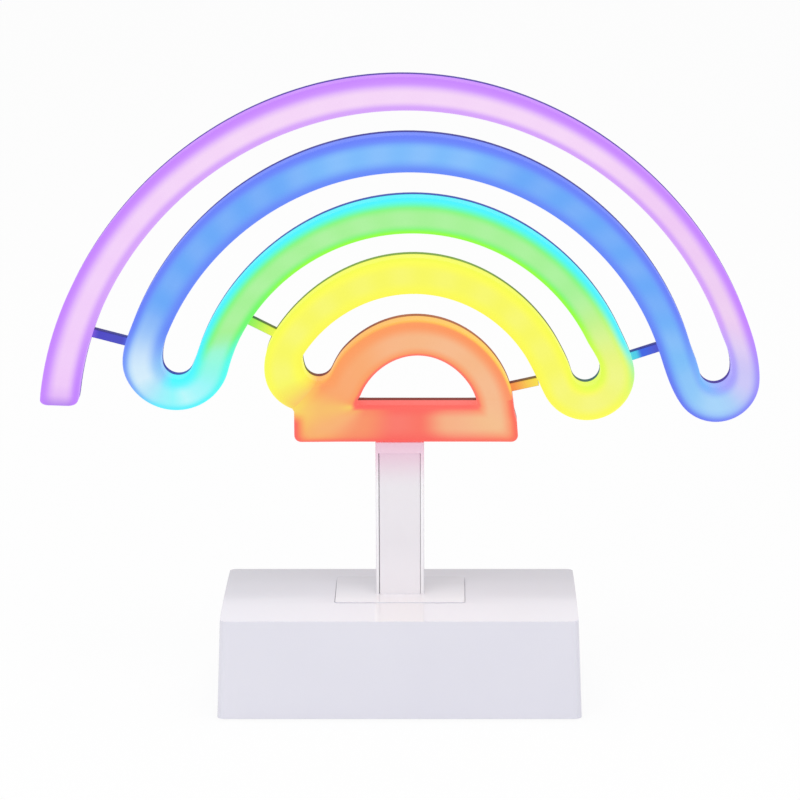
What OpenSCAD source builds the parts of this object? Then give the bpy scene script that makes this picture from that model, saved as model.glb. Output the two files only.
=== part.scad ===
// Rainbow neon lamp: a lit rainbow head on a short stand and a battery base.
// Millimetres, +Z up, front towards -Y, origin on the table under the middle of the lamp.

/* [Base] */
// Width of the base at the bottom
base_w = 146; // [140:1:160]
// Depth of the base at the bottom
base_d = 76; // [74:1:90]
// Height of the front edge of the base
base_front_h = 41; // [39:0.5:46]
// How much lower the rear edge of the base is
base_fall = 1.4; // [0.5:0.1:4]
// Rise of the curved top above a straight line
top_crown = 1.3; // [1:0.1:3]
// How much each side leans in at the top
base_draft = 1.6; // [0.5:0.1:2.5]
// Wall of the base housing
base_wall = 2.2; // [1.8:0.1:2.6]
// Radius of the upright corners of the base
base_corner_r = 3; // [2.5:0.5:5]
// Thickness of the bottom plate
bottom_t = 2.4; // [2:0.1:3]
// Thickness of the rubber feet below the housing
foot_proud = 0.6; // [0.4:0.1:1.5]
// Diameter of a rubber foot
foot_d = 10; // [7:0.5:11]

/* [Stand] */
// Width of the column
column_w = 19.5; // [18:0.5:22]
// Depth of the column
column_d = 13; // [12:0.5:15]
// Height of the underside of the head above the table
head_z = 106; // [96:1:126]
// Height of the plain collar above the column panel
collar_h = 4.5; // [3:0.5:8]
// Width of the column panel
panel_w = 16.5; // [15:0.1:17]
// Thickness of the column panel
panel_t = 1.6; // [1.2:0.1:2]
// Width of the foot plate
plate_w = 52.5; // [46:0.5:60]
// Depth of the foot plate
plate_d = 34; // [28:1:40]
// Thickness of the foot plate
plate_t = 2.6; // [2:0.1:3]

/* [Head] */
// Depth of the lit front shell
shell_d = 10; // [8:0.5:12]
// Depth of the rear cover
cover_d = 5; // [4:0.5:7]
// Wall of the shell and the cover
head_wall = 1.6; // [1.2:0.1:2]
// Radius of the rounded front edges of the shell
edge_r = 4; // [3:0.25:4.5]
// How far the front of the head is ahead of the lamp's middle
head_front = 7; // [6:0.5:9]
// Height of the flat bar under the half-round window
bar_h = 15.5; // [14:0.5:18]
// Height of the struts between the bands
strut_h = 3.5; // [2.5:0.25:4.5]
// Width of the light strip
strip_w = 4; // [3:0.25:4.5]
// Thickness of the light strip
strip_t = 0.4; // [0.3:0.05:0.6]
// Size of a light chip along the strip
chip_l = 2.4; // [1.6:0.2:3]

/* [Battery bay] */
// Number of cells side by side
cell_count = 3; // [2:1:3]
// Diameter of a cell
cell_d = 14.5; // [10.5:0.5:14.5]
// Length of a cell with its button
cell_l = 50.5; // [44.5:0.5:50.5]
// Spare width beside each cell
cell_gap = 0.6; // [0.4:0.1:1]
// Wall of the battery bay
bay_wall = 1.6; // [1.2:0.1:2]
// Length of a battery spring as it is pressed
spring_l = 5.7; // [4.5:0.1:6.5]
// Thickness of the battery door
door_t = 1.8; // [1.4:0.1:1.8]
// How far the battery door drops when it is taken off
door_drop = 25; // [10:1:40]

/* [Switch] */
// Travel of the switch knob
knob_travel = 3; // [2:0.25:4]
// Width of the switch knob
knob_w = 3; // [2:0.25:4]
// Height of the switch knob
knob_h = 2.8; // [2:0.2:3.4]

/* [Screws] */
// Shaft radius of the small screws
screw_r = 1.1; // [0.9:0.05:1.3]
// Head radius of the small screws
screw_head_r = 2.1; // [1.9:0.1:2.6]
// Head height of the small screws
screw_head_h = 1; // [0.8:0.1:1.2]

/* [Hidden] */
// Smoothness of the exact round shapes
$fn = 64;
// Running and seating clearances
snug = 0.15;
loose = 0.3;
tiny = 0.01;

// Band outlines of the head. Each circle is [centre x, centre z, radius, shoulder], with z above the
// head's underside. The shoulder draws the outline out at its sides and top, and in between them.
purple_out = [1.2, 1.7, 145.3, 0.8];
purple_in = [3, 1.8, 132.2, 0.4];
blue_out = [3.4, 7.1, 117.1, 0.5];
blue_in = [4.3, 5.3, 104.2, 0.3];
green_out = [5.4, 9.3, 90, 0.5];
green_in = [5.4, 8.2, 77, 0.1];
yellow_out = [5.6, 10, 65.2, 0.4];
yellow_in = [5.8, 8.7, 51.9, 0.2];
orange_out = [6.7, 11, 39.1, 0.2];
window_arc = [7.3, 11.5, 24.1, 0.2];
right_turn = [126.7, 25.4, 17.2, 0];
right_slot = [126.3, 28.8, 6.3, 0];
left_turn = [-89.3, 34.7, 21.6, 0];
left_slot = [-88.8, 32.2, 6.2, 0];
low_turn = [75, 27.8, 18.9, 0];
low_slot = [74.5, 28.9, 5.8, 0];
bulge_turn = [-37.3, 29.3, 16.6, 0];
bulge_slot = [-32.5, 31.2, 5.8, 0];
// Corners of the bar under the window
bar_left = -42.3;
bar_right = 47.5;
bar_corner_r = 2.5;
window_corner_r = 1.2;
// Rounding of an edge that butts against the next band
butt_r = 0.6;
// Steps round each rounded front edge
edge_steps = 4;

// A point on a circle at an angle, in the plane of the head
function on(c, a) = let (r = c[2] + c[3] * cos(4 * a)) [c[0] + r * cos(a), head_z + c[1] + r * sin(a)];
function grown(c, d) = [c[0], c[1], c[2] + d, c[3]];
// A stretch is [first circle, second circle, from and to on the first, from and to on the second, steps].
// Its rail pairs are [first point, second point, first rounding, second rounding, how hollow].
function band(s) = [for (k = [0:s[6]]) [on(s[0], s[2] + (s[3] - s[2]) * k / s[6]),
    on(s[1], s[4] + (s[5] - s[4]) * k / s[6]), edge_r, edge_r, 1]];
// A smooth curve runs from the end of one stretch to the start of the next
function way(s) = s[3] > s[2] ? 1 : -1;
function heading(a, w) = [-w * sin(a), w * cos(a)];
function bent(p, u, q, v, t) = p * (1 - t * t * (3 - 2 * t)) + q * (t * t * (3 - 2 * t))
    + u * (norm(q - p) * t * (1 - t) * (1 - t)) - v * (norm(q - p) * t * t * (1 - t));
function linked(s, e) = let (n = 4, p = band(s)[s[6]], q = band(e)[0]) [for (k = [1:n - 1]) [
    bent(p[0], heading(s[3], way(s)), q[0], heading(e[2], way(e)), k / n),
    bent(p[1], heading(s[5], way(s)), q[1], heading(e[4], way(e)), k / n), edge_r, edge_r, 1]];

// The foot of the outer band is closed by a wall with rounded corners
foot_angle_out = 174.5;
foot_angle_in = 174.2;
foot_corner_r = 2;
foot_wall = 2.6;
solid_end = 0.01;
function degrees_up(c, up) = up / c[2] * 180 / PI;
function foot_pair(up, inset, hollow) = [
    on(grown(purple_out, -inset), foot_angle_out - degrees_up(purple_out, up)),
    on(grown(purple_in, inset), foot_angle_in - degrees_up(purple_in, up)),
    edge_r - inset, edge_r - inset, hollow];
foot_pairs = concat([for (a = [0:30:90])
    foot_pair(foot_corner_r * (1 - cos(a)), foot_corner_r * (1 - sin(a)), solid_end)],
    [foot_pair(foot_wall, 0, 1), foot_pair(2 * foot_wall, 0, 1)]);

// The tube of light runs from that foot to the bar
purple_arc = [purple_out, purple_in, 169, 16, 169, 20, 24];
right_bend = [right_turn, right_slot, 0, -145, -5, -170, 9];
blue_arc = [blue_in, blue_out, 20, 158, 16, 158, 20];
left_bend = [left_slot, left_turn, 185, 335, 200, 345, 9];
green_arc = [green_out, green_in, 160, 24, 153, 26, 16];
low_bend = [low_turn, low_slot, -5, -155, -5, -165, 9];
yellow_arc = [yellow_in, yellow_out, 30, 148, 28, 150, 13];
bulge_bend = [bulge_slot, bulge_turn, 195, 270, 190, 250, 5];
bulge_pairs = band(bulge_bend);
joint_pair = bulge_pairs[bulge_bend[6]];

// Steps of the right bend that still glow purple, of the left bend blue and of the low bend green
split_right = 1;
split_left = 3;
split_low = 2;
function part_of(list, i, j) = [for (k = [i:j]) list[k]];
function first_part(s, split) = part_of(band(s), 0, split);
function last_part(s, split) = part_of(band(s), split, s[6]);
purple_run = concat(foot_pairs, band(purple_arc), linked(purple_arc, right_bend),
    first_part(right_bend, split_right));
blue_run = concat(last_part(right_bend, split_right), linked(right_bend, blue_arc), band(blue_arc),
    linked(blue_arc, left_bend), first_part(left_bend, split_left));
green_run = concat(last_part(left_bend, split_left), linked(left_bend, green_arc), band(green_arc),
    linked(green_arc, low_bend), first_part(low_bend, split_low));
yellow_run = concat(last_part(low_bend, split_low), linked(low_bend, yellow_arc), band(yellow_arc),
    linked(yellow_arc, bulge_bend), bulge_pairs);
function from(list, i) = part_of(list, i, len(list) - 1);
whole_run = concat(purple_run, from(blue_run, 1), from(green_run, 1), from(yellow_run, 1));
lit_run = from(whole_run, len(foot_pairs));

// The half-round window with its bar is a closed loop of rail pairs
bar_top = head_z + bar_h;
bar_mid = bar_h / 2;
window_left = window_arc[0] - sqrt(pow(window_arc[2], 2) - pow(bar_h - window_arc[1], 2)) - 0.5;
window_right = window_arc[0] + sqrt(pow(window_arc[2], 2) - pow(bar_h - window_arc[1], 2)) + 0.5;
window_floor = [window_left + window_corner_r, window_right - window_corner_r];
function corner(x, z, r, a) = [x + r * cos(a), z + r * sin(a)];
loop_pairs = concat(
    band([orange_out, window_arc, 10, 147, 16, 162, 18]),
    [for (k = [0:3]) [on(bulge_slot, -15 - 25 * k), [window_left, bar_top + 1.6 - 0.3 * k],
        k < 3 ? edge_r : butt_r, edge_r]],
    [[(joint_pair[0] + joint_pair[1]) / 2, corner(window_floor[0], bar_top + window_corner_r,
        window_corner_r, 225), butt_r, edge_r],
     [joint_pair[1], [window_floor[0], bar_top], butt_r, edge_r],
     [[bar_left, head_z + bar_mid], [window_floor[0] + 2, bar_top], edge_r, edge_r]],
    [for (k = [0:3]) [corner(bar_left + bar_corner_r, head_z + bar_corner_r, bar_corner_r, 180 + 30 * k),
        [window_floor[0] + 4 + 2 * k, bar_top], edge_r, edge_r]],
    [for (k = [1:3]) [[bar_left + (bar_right - bar_left) * k / 4, head_z],
        [window_floor[0] + 6 + (window_floor[1] - window_floor[0] - 12) * k / 4, bar_top], edge_r, edge_r]],
    [for (k = [0:3]) [corner(bar_right - bar_corner_r, head_z + bar_corner_r, bar_corner_r, 270 + 30 * k),
        [window_floor[1] - 6 + k, bar_top], edge_r, edge_r]],
    [[[bar_right - 0.4, head_z + bar_mid], [window_floor[1] - 1, bar_top], edge_r, edge_r],
     [[bar_right - 1.4, bar_top - 4], [window_floor[1] + 0.8, bar_top + 0.6], edge_r, edge_r]]);
loop_run = [for (k = [len(loop_pairs) - 1:-1:0]) let (p = loop_pairs[k]) [p[0], p[1], p[2], p[3], 1]];

// Depths of the head, measured back from its front face
cover_back = shell_d + cover_d;
cover_floor = cover_back - head_wall;
strip_face = cover_floor - strip_t;
cavity_slant = 2;
cover_chamfer = 1;

// Section of the lit shell across a rail pair, as [across, back] points
function shell_section(w, ro, ri, hollow) = let (
    deep = shell_d - (shell_d - head_wall) * hollow,
    side = shell_d - (shell_d - head_wall - cavity_slant) * hollow) concat(
    [[0, shell_d]],
    [for (k = [0:edge_steps]) let (a = 90 * k / edge_steps) [ro - ro * cos(a), ro - ro * sin(a)]],
    [for (k = [0:edge_steps]) let (a = 90 * k / edge_steps) [w - ri + ri * sin(a), ri - ri * cos(a)]],
    [[w, shell_d], [w - head_wall, shell_d], [w - head_wall, side],
     [w - head_wall - cavity_slant, deep], [head_wall + cavity_slant, deep],
     [head_wall, side], [head_wall, shell_d]]);

// Section of the rear cover across a rail pair
function cover_section(w, hollow) = let (floor = shell_d + (cover_floor - shell_d) * hollow)
    [[0, cover_back - cover_chamfer], [0, shell_d], [head_wall, shell_d], [head_wall, floor],
     [w - head_wall, floor], [w - head_wall, shell_d], [w, shell_d], [w, cover_back - cover_chamfer],
     [w - cover_chamfer, cover_back], [cover_chamfer, cover_back]];

// Section of the light strip along the middle of a rail pair
function strip_section(w) = [[(w - strip_w) / 2, cover_floor], [(w - strip_w) / 2, strip_face],
    [(w + strip_w) / 2, strip_face], [(w + strip_w) / 2, cover_floor]];

function ring(pair, section) = let (e = (pair[1] - pair[0]) / norm(pair[1] - pair[0]))
    [for (q = section) [pair[0][0] + q[0] * e[0], -head_front + q[1], pair[0][1] + q[0] * e[1]]];

// A closed skin through rings of points, with flat ends, or running round into itself
module skin(rings, closed = false) {
    m = len(rings[0]);
    n = len(rings);
    spans = closed ? n : n - 1;
    sides = [for (s = [0:spans - 1], p = [0:m - 1])
        let (a = s * m + p, b = s * m + (p + 1) % m, c = ((s + 1) % n) * m)
        each [[b, a, c + p], [b, c + p, c + (p + 1) % m]]];
    ends = closed ? [] : [[for (p = [0:m - 1]) p], [for (p = [m - 1:-1:0]) (n - 1) * m + p]];
    polyhedron(points = [for (r = rings, q = r) q], faces = concat(ends, sides), convexity = 12);
}

function span(pair) = norm(pair[1] - pair[0]);
module shell_skin(run, closed = false) {
    skin([for (p = run) ring(p, shell_section(span(p), p[2], p[3], p[4]))], closed);
}
module cover_skin(run, closed = false) {
    skin([for (p = run) ring(p, cover_section(span(p), p[4]))], closed);
}

// Something set on the head at a point of its plane, with its axis running back
module at_head(point, back) {
    translate([point[0], back - head_front, point[1]])
        rotate([-90, 0, 0]) children();
}

// Screws that hold the rear cover sit beside the light strip
cover_screw_r = 0.9;
cover_head_r = 1.7;
cover_head_h = 0.9;
cover_boss_r = 1.7;
cover_screw_l = 8;
boss_front = 4.6;
bore_fit = 0.05;
inset = head_wall / 2 + cover_boss_r;
purple_sites = [for (a = [150, 112, 76]) on(grown(purple_in, inset), a)];
blue_sites = concat([for (a = [140, 90, 42]) on(grown(blue_in, inset), a)],
    [on(grown(right_turn, -inset), -75), on(grown(left_turn, -inset), 225)]);
green_sites = [for (a = [125, 55]) on(grown(green_in, inset), a)];
yellow_sites = [on(grown(yellow_in, inset), 100), on(grown(low_turn, -inset), -100)];
arc_sites = [on(grown(window_arc, inset), 90)];
corner_inset = 4.5;
bar_sites = [for (x = [bar_left + corner_inset, bar_right - corner_inset]) [x, head_z + corner_inset]];
all_sites = concat(purple_sites, blue_sites, green_sites, yellow_sites, arc_sites, bar_sites);

module bosses(sites, front = boss_front) {
    for (s = sites) at_head(s, front) cylinder(h = shell_d - front, r = cover_boss_r);
}
module boss_bores(sites) {
    for (s = sites) at_head(s, cover_back - cover_screw_l - 1)
        cylinder(h = cover_screw_l, r = cover_screw_r + bore_fit);
}
module lit_shell(run, sites) {
    difference() {
        union() {
            shell_skin(run);
            bosses(sites);
        }
        boss_bores(sites);
    }
}

module shell_purple() { color([0.80, 0.58, 0.98]) lit_shell(purple_run, purple_sites); }
module shell_blue() { color([0.38, 0.58, 0.95]) lit_shell(blue_run, blue_sites); }
module shell_green() { color([0.48, 0.95, 0.50]) lit_shell(green_run, green_sites); }
module shell_yellow() { color([0.97, 0.97, 0.38]) lit_shell(yellow_run, yellow_sites); }

// The plug joins the head to the column and lets the lamp leads through
plug_w = 11;
plug_d = 5;
plug_back = 3;
plug_up = 4;
plug_down = 10;
plug_bore_r = 1.6;
module shell_orange() {
    color([0.98, 0.55, 0.42]) difference() {
        union() {
            shell_skin(loop_run, closed = true);
            bosses(arc_sites);
            bosses(bar_sites, head_wall - 0.3);
        }
        boss_bores(concat(arc_sites, bar_sites));
        translate([-plug_w / 2 - snug, plug_back - plug_d - snug, head_z - 1])
            cube([plug_w + 2 * snug, 2 * plug_d, head_wall + 2]);
    }
}

// Struts of the cover join neighbouring bands: [circle, side, angle, circle, side, angle]
strut_root = 0.8;
arch_struts = [[purple_in, strut_root, 161.8, blue_out, -strut_root, 163.9],
    [green_in, strut_root, 148.5, yellow_out, -strut_root, 149.1],
    [green_out, -strut_root, 15.5, blue_in, strut_root, 17.8]];
window_strut = [orange_out, -strut_root, 14.4, yellow_in, -snug, 16.2];
strut_back = cover_d - 0.6;
module strut(s) {
    a = on(grown(s[0], s[1]), s[2]);
    b = on(grown(s[3], s[4]), s[5]);
    turn = atan2(b[1] - a[1], b[0] - a[0]);
    translate([a[0], shell_d - head_front, a[1]]) rotate([0, -turn, 0])
        translate([0, 0, -strut_h / 2]) cube([norm(b - a), strut_back, strut_h]);
}
module cover_posts(sites) {
    for (s = sites) at_head(s, shell_d) cylinder(h = cover_d - 1, r = cover_boss_r);
}
module cover_bores(sites) {
    for (s = sites) {
        at_head(s, shell_d - 1) cylinder(h = cover_d + 2, r = cover_screw_r + snug);
        at_head(s, cover_back - cover_head_h) cylinder(h = 2, r = cover_head_r + snug);
    }
}
arch_sites = concat(purple_sites, blue_sites, green_sites, yellow_sites);
window_sites = concat(arc_sites, bar_sites);
module rear_cover() {
    color([0.36, 0.30, 0.55]) difference() {
        union() {
            cover_skin(whole_run);
            for (s = arch_struts) strut(s);
            cover_posts(arch_sites);
        }
        cover_bores(arch_sites);
    }
}

// The light strip passes through a notch from the last band into the bar
joint_mid = (joint_pair[0] + joint_pair[1]) / 2;
joint_dir = [joint_pair[0][1] - joint_pair[1][1], joint_pair[1][0] - joint_pair[0][0]] / span(joint_pair);
pass_w = strip_w + 2;
module window_cover() {
    color([0.62, 0.32, 0.26]) difference() {
        union() {
            cover_skin(loop_run, closed = true);
            strut(window_strut);
            cover_posts(window_sites);
        }
        cover_bores(window_sites);
        translate([joint_mid[0], shell_d - head_front - 1, joint_mid[1]])
            rotate([0, -atan2(joint_dir[1], joint_dir[0]), 0])
            translate([-1, 0, -pass_w / 2]) cube([6, cover_floor - shell_d + 1, pass_w]);
    }
}
module cover_screws() {
    color([0.75, 0.75, 0.78]) for (s = all_sites) {
        at_head(s, cover_back - cover_screw_l) cylinder(h = cover_screw_l - tiny, r = cover_screw_r);
        at_head(s, cover_back - cover_head_h) cylinder(h = cover_head_h - tiny, r = cover_head_r);
    }
}

// Route of the light strip inside the bar and the arc over the window
bar_bend = [-23, bar_mid + 8, 8, 0];
bar_end_bend = [33, bar_mid + 5.5, 5.5, 0];
arc_mid = (orange_out + window_arc) / 2;
half_strip = strip_w / 2;
function strip_bend(c, a) = [on(grown(c, -half_strip), a), on(grown(c, half_strip), a)];
strip_run = concat(lit_run,
    [for (a = [228:14:270]) strip_bend(bar_bend, a)],
    [for (a = [270:15:360]) strip_bend(bar_end_bend, a)],
    [for (a = [8:8:152]) strip_bend(arc_mid, a)]);
module light_strip() {
    color([0.93, 0.93, 0.90]) skin([for (p = strip_run) ring(p, strip_section(span(p)))]);
}

// Light chips stand on the strip, at even angles along the middle of a band
chip_h = 1;
purple_mid = (purple_out + purple_in) / 2;
blue_mid = (blue_out + blue_in) / 2;
green_mid = (green_out + green_in) / 2;
yellow_mid = (yellow_out + yellow_in) / 2;
module chips(circle, a0, a1, n) {
    for (k = [0:n - 1]) {
        a = a0 + (a1 - a0) * k / (n - 1);
        p = on(circle, a);
        translate([p[0], strip_face - chip_h / 2 - head_front, p[1]]) rotate([0, 90 - a, 0])
            cube([chip_l, chip_h, chip_l], center = true);
    }
}
module chips_purple() { color([0.95, 0.70, 1.0]) chips(purple_mid, 168, 24, 13); }
module chips_blue() { color([0.45, 0.70, 1.0]) chips(blue_mid, 24, 156, 11); }
module chips_green() { color([0.50, 1.0, 0.55]) chips(green_mid, 150, 28, 8); }
module chips_yellow() { color([1.0, 1.0, 0.45]) chips(yellow_mid, 36, 144, 5); }
module chips_orange() {
    color([1.0, 0.62, 0.40]) {
        chips(arc_mid, 20, 140, 4);
        for (x = [-18:12:30]) translate([x, strip_face - chip_h / 2 - head_front, head_z + bar_mid])
            cube([chip_l, chip_h, chip_l], center = true);
    }
}

// The column stands on the foot plate and opens to the front, where the panel closes it
top_mid = base_front_h - base_fall / 2;
plate_top = top_mid + top_crown + 0.4;
column_y = 2.2;
column_front = column_y - column_d / 2;
column_back = column_y + column_d / 2;
side_rail = (column_w - panel_w) / 2 - snug;
panel_set = 0.3;
panel_bottom = plate_top + 0.3;
panel_top = head_z - collar_h;
column_wall = 1.8;
channel_w = panel_w - 2.4;
column_floor = 4;
tenon_w = 15;
tenon_d = 8;
pad_t = 2.8;
tenon_l = plate_t + pad_t - 0.05;
stand_screw_x = 5.2;
lead_hole_r = 2;
module head_plug() {
    color([0.95, 0.95, 0.96]) difference() {
        translate([-plug_w / 2, plug_back - plug_d, head_z - plug_down])
            cube([plug_w, plug_d - snug, plug_down + plug_up]);
        translate([0, plug_back - plug_d / 2, head_z - plug_down - 1])
            cylinder(h = plug_down + plug_up + 2, r = plug_bore_r);
    }
}
module stand_column() {
    color([0.94, 0.93, 0.95]) difference() {
        union() {
            translate([-column_w / 2, column_front, plate_top])
                cube([column_w, column_d, head_z - plate_top]);
            translate([-tenon_w / 2, column_y - tenon_d / 2, plate_top - tenon_l])
                cube([tenon_w, tenon_d, tenon_l + 1]);
        }
        translate([-panel_w / 2 - snug, column_front - 1, panel_bottom])
            cube([panel_w + 2 * snug, panel_set + panel_t + 1, panel_top - panel_bottom]);
        translate([-channel_w / 2, column_front, plate_top + column_floor])
            cube([channel_w, column_d - column_wall, panel_top - plate_top - column_floor]);
        translate([-plug_w / 2 - snug, plug_back - plug_d - snug, panel_top - 1])
            cube([plug_w + 2 * snug, plug_d + snug, collar_h + 2]);
        translate([0, column_y, plate_top - tenon_l - 1])
            cylinder(h = tenon_l + column_floor + 2, r = lead_hole_r);
        for (x = [-stand_screw_x, stand_screw_x]) translate([x, column_y, plate_top - tenon_l - 1])
            cylinder(h = tenon_l + column_floor, r = screw_r + bore_fit);
    }
}
module column_panel() {
    color([0.91, 0.90, 0.92])
        translate([-panel_w / 2, column_front + panel_set, panel_bottom + snug])
        cube([panel_w, panel_t, panel_top - panel_bottom - 2 * snug]);
}

// The foot plate lies in a pocket of the curved top, on a thick pad inside the housing
pad_under = plate_top - plate_t - pad_t;
plate_screw_x = 19;
plate_pin_r = 2.6;
plate_pin_l = plate_top - plate_t - pad_under;
module plate_outline(w, d) {
    for (x = [-1, 1], y = [-1, 1]) translate([x * (w / 2 - 1.5), y * (d / 2 - 1.5)]) circle(r = 1.5);
    square([w - 3, d], center = true);
    square([w, d - 3], center = true);
}
module foot_plate() {
    color([0.94, 0.93, 0.95]) difference() {
        union() {
            translate([0, column_y, plate_top - plate_t]) linear_extrude(plate_t - tiny)
                plate_outline(plate_w, plate_d);
            for (x = [-plate_screw_x, plate_screw_x]) translate([x, column_y, pad_under])
                cylinder(h = plate_pin_l + 1, r = plate_pin_r);
        }
        translate([-tenon_w / 2 - snug, column_y - tenon_d / 2 - snug, pad_under])
            cube([tenon_w + 2 * snug, tenon_d + 2 * snug, 20]);
        for (x = [-plate_screw_x, plate_screw_x]) translate([x, column_y, pad_under - 1])
            cylinder(h = plate_pin_l + plate_t - 0.2, r = screw_r + bore_fit);
    }
}
module small_screw(length, head_r = screw_head_r) {
    translate([0, 0, -screw_head_h]) cylinder(h = screw_head_h, r = head_r);
    cylinder(h = length, r = screw_r);
}
plate_head_r = plate_pin_r + 0.9;
module plate_screws() {
    color([0.75, 0.75, 0.78]) for (x = [-plate_screw_x, plate_screw_x])
        translate([x, column_y, pad_under]) small_screw(plate_pin_l + plate_t - 1.4, plate_head_r);
}
washer_t = 2;
washer_w = 21;
washer_d = 13;
module stand_washer() {
    color([0.80, 0.80, 0.83]) difference() {
        translate([-washer_w / 2, column_y - washer_d / 2, pad_under - washer_t])
            cube([washer_w, washer_d, washer_t]);
        translate([0, column_y, pad_under - washer_t - 1]) cylinder(h = washer_t + 2, r = lead_hole_r);
        for (x = [-stand_screw_x, stand_screw_x]) translate([x, column_y, pad_under - washer_t - 1])
            cylinder(h = washer_t + 2, r = screw_r + snug);
    }
}
module stand_screws() {
    color([0.75, 0.75, 0.78]) for (x = [-stand_screw_x, stand_screw_x])
        translate([x, column_y, pad_under - washer_t]) small_screw(washer_t + tenon_l - 0.4 + 1.6);
}

// A lead is a round tube swept along hand-picked points
lead_r = 0.6;
lead_sides = 8;
function unit(v) = v / norm(v);
function along(path, i) = let (n = len(path))
    unit(path[min(i + 1, n - 1)] - path[max(i - 1, 0)]);
// Points eased round each corner of a route
function eased(path, cut = 0.25) = concat([path[0]],
    [for (i = [1:len(path) - 2]) each [path[i] * (1 - cut) + path[i - 1] * cut,
        path[i] * (1 - cut / 3) + (path[i - 1] + path[i + 1]) * cut / 6,
        path[i] * (1 - cut) + path[i + 1] * cut]], [path[len(path) - 1]]);
// Frames are carried from ring to ring so that the tube doesn't twist
function carried(path, i, v) = let (t = along(path, i), w = unit(v - (v * t) * t))
    i == len(path) - 1 ? [w] : concat([w], carried(path, i + 1, w));
module tube(path, r, sides = lead_sides) {
    across = carried(path, 0, unit(cross(along(path, 0), [0.3, 1, 0.2])));
    skin([for (i = [0:len(path) - 1]) let (t = along(path, i), u = across[i], v = cross(t, u))
        [for (k = [0:sides - 1]) let (a = -360 * k / sides) path[i] + r * (cos(a) * u + sin(a) * v)]]);
}

// The base housing is a leaning block under a curved top, hollow and open below
base_block_h = base_front_h + 6;
function lean(z) = base_draft * z / base_front_h;
module rounded(w, d, r) {
    square([w - 2 * r, d], center = true);
    square([w, d - 2 * r], center = true);
    for (x = [-1, 1], y = [-1, 1]) translate([x * (w / 2 - r), y * (d / 2 - r)]) circle(r = r);
}
module base_block(inset, z0) {
    r = max(base_corner_r - inset, 0.6);
    hull() for (z = [z0, base_block_h]) translate([0, 0, z]) linear_extrude(tiny)
        rounded(base_w - 2 * inset - 2 * lean(z), base_d - 2 * inset - 2 * lean(z), r, $fn = 32);
}
top_run = base_d - 2 * base_draft;
top_chord = norm([top_run, base_fall]);
top_r = (pow(top_chord, 2) / 4 + pow(top_crown, 2)) / (2 * top_crown);
top_centre = [base_fall / top_chord * (top_crown - top_r),
    top_mid + top_run / top_chord * (top_crown - top_r)];
module top_curve(drop) {
    translate([0, top_centre[0], top_centre[1]]) rotate([0, 90, 0])
        cylinder(h = 2 * base_w, r = top_r - drop, center = true, $fn = 400);
}
bottom_top = foot_proud + bottom_t;
bottom_screw_x = base_w / 2 - 11;
bottom_screw_y = 14;
post_r = 3.2;
bottom_screw_l = 8;
module at_bottom_screws(z) {
    for (x = [-bottom_screw_x, bottom_screw_x], y = [-bottom_screw_y, bottom_screw_y])
        translate([x, y, z]) children();
}

// The battery bay keeps to the left end of the base, and the driver board to the right end
bay_from_end = 22.5;
board_from_end = 19;
board_from_bay = 3.9;
contact_t = 0.4;
bay_l = cell_l + spring_l + 2 * contact_t;
bay_left = bay_from_end - base_w / 2;
bay_right = bay_left + bay_l;
bay_mid = (bay_left + bay_right) / 2;
board_x = [bay_right + bay_wall + board_from_bay, base_w / 2 - board_from_end];
board_l = board_x[1] - board_x[0];
board_y = [-6, base_d / 2 - base_wall - 1.6];
board_post_h = 4;
board_post_r = 2.4;
board_z = bottom_top + board_post_h;
board_t = 1.6;
board_top = board_z + board_t;
board_screw_r = 0.9;
board_screw_l = 5;
board_head_h = 1;
board_inset = 3;
board_sites = [for (x = [board_x[0] + board_inset, board_x[1] - board_inset],
    y = [board_y[0] + board_inset, board_y[1] - 3.4 * board_inset]) [x, y]];
switch_x = board_x[0] + 0.31 * board_l;
switch_w = 12;
switch_h = 5.4;
switch_z = board_top + switch_h / 2;
switch_y = [board_y[1] - 5.2, board_y[1] + 0.2];
knob_root = board_y[1] - 1.6;
knob_x = switch_x - knob_travel / 2;
slot_w = knob_w + knob_travel;
rear_at_knob = base_d / 2 - lean(switch_z);
recess_deep = 0.9;
recess_w = 2 * (knob_travel + knob_w + 1);
recess_h = knob_h + 3.2;
inlet_x = board_x[0] + 0.76 * board_l;
inlet_w = 9;
inlet_h = 3.3;
inlet_wall = 0.35;
inlet_z = board_top + inlet_h / 2;
inlet_y = [board_y[1] - 6, rear_at_knob - 0.8];
module oval_bar(w, h, l) {
    rotate([-90, 0, 0]) linear_extrude(l) {
        square([w - h, h], center = true);
        for (x = [-1, 1]) translate([x * (w - h) / 2, 0]) circle(r = h / 2);
    }
}
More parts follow.
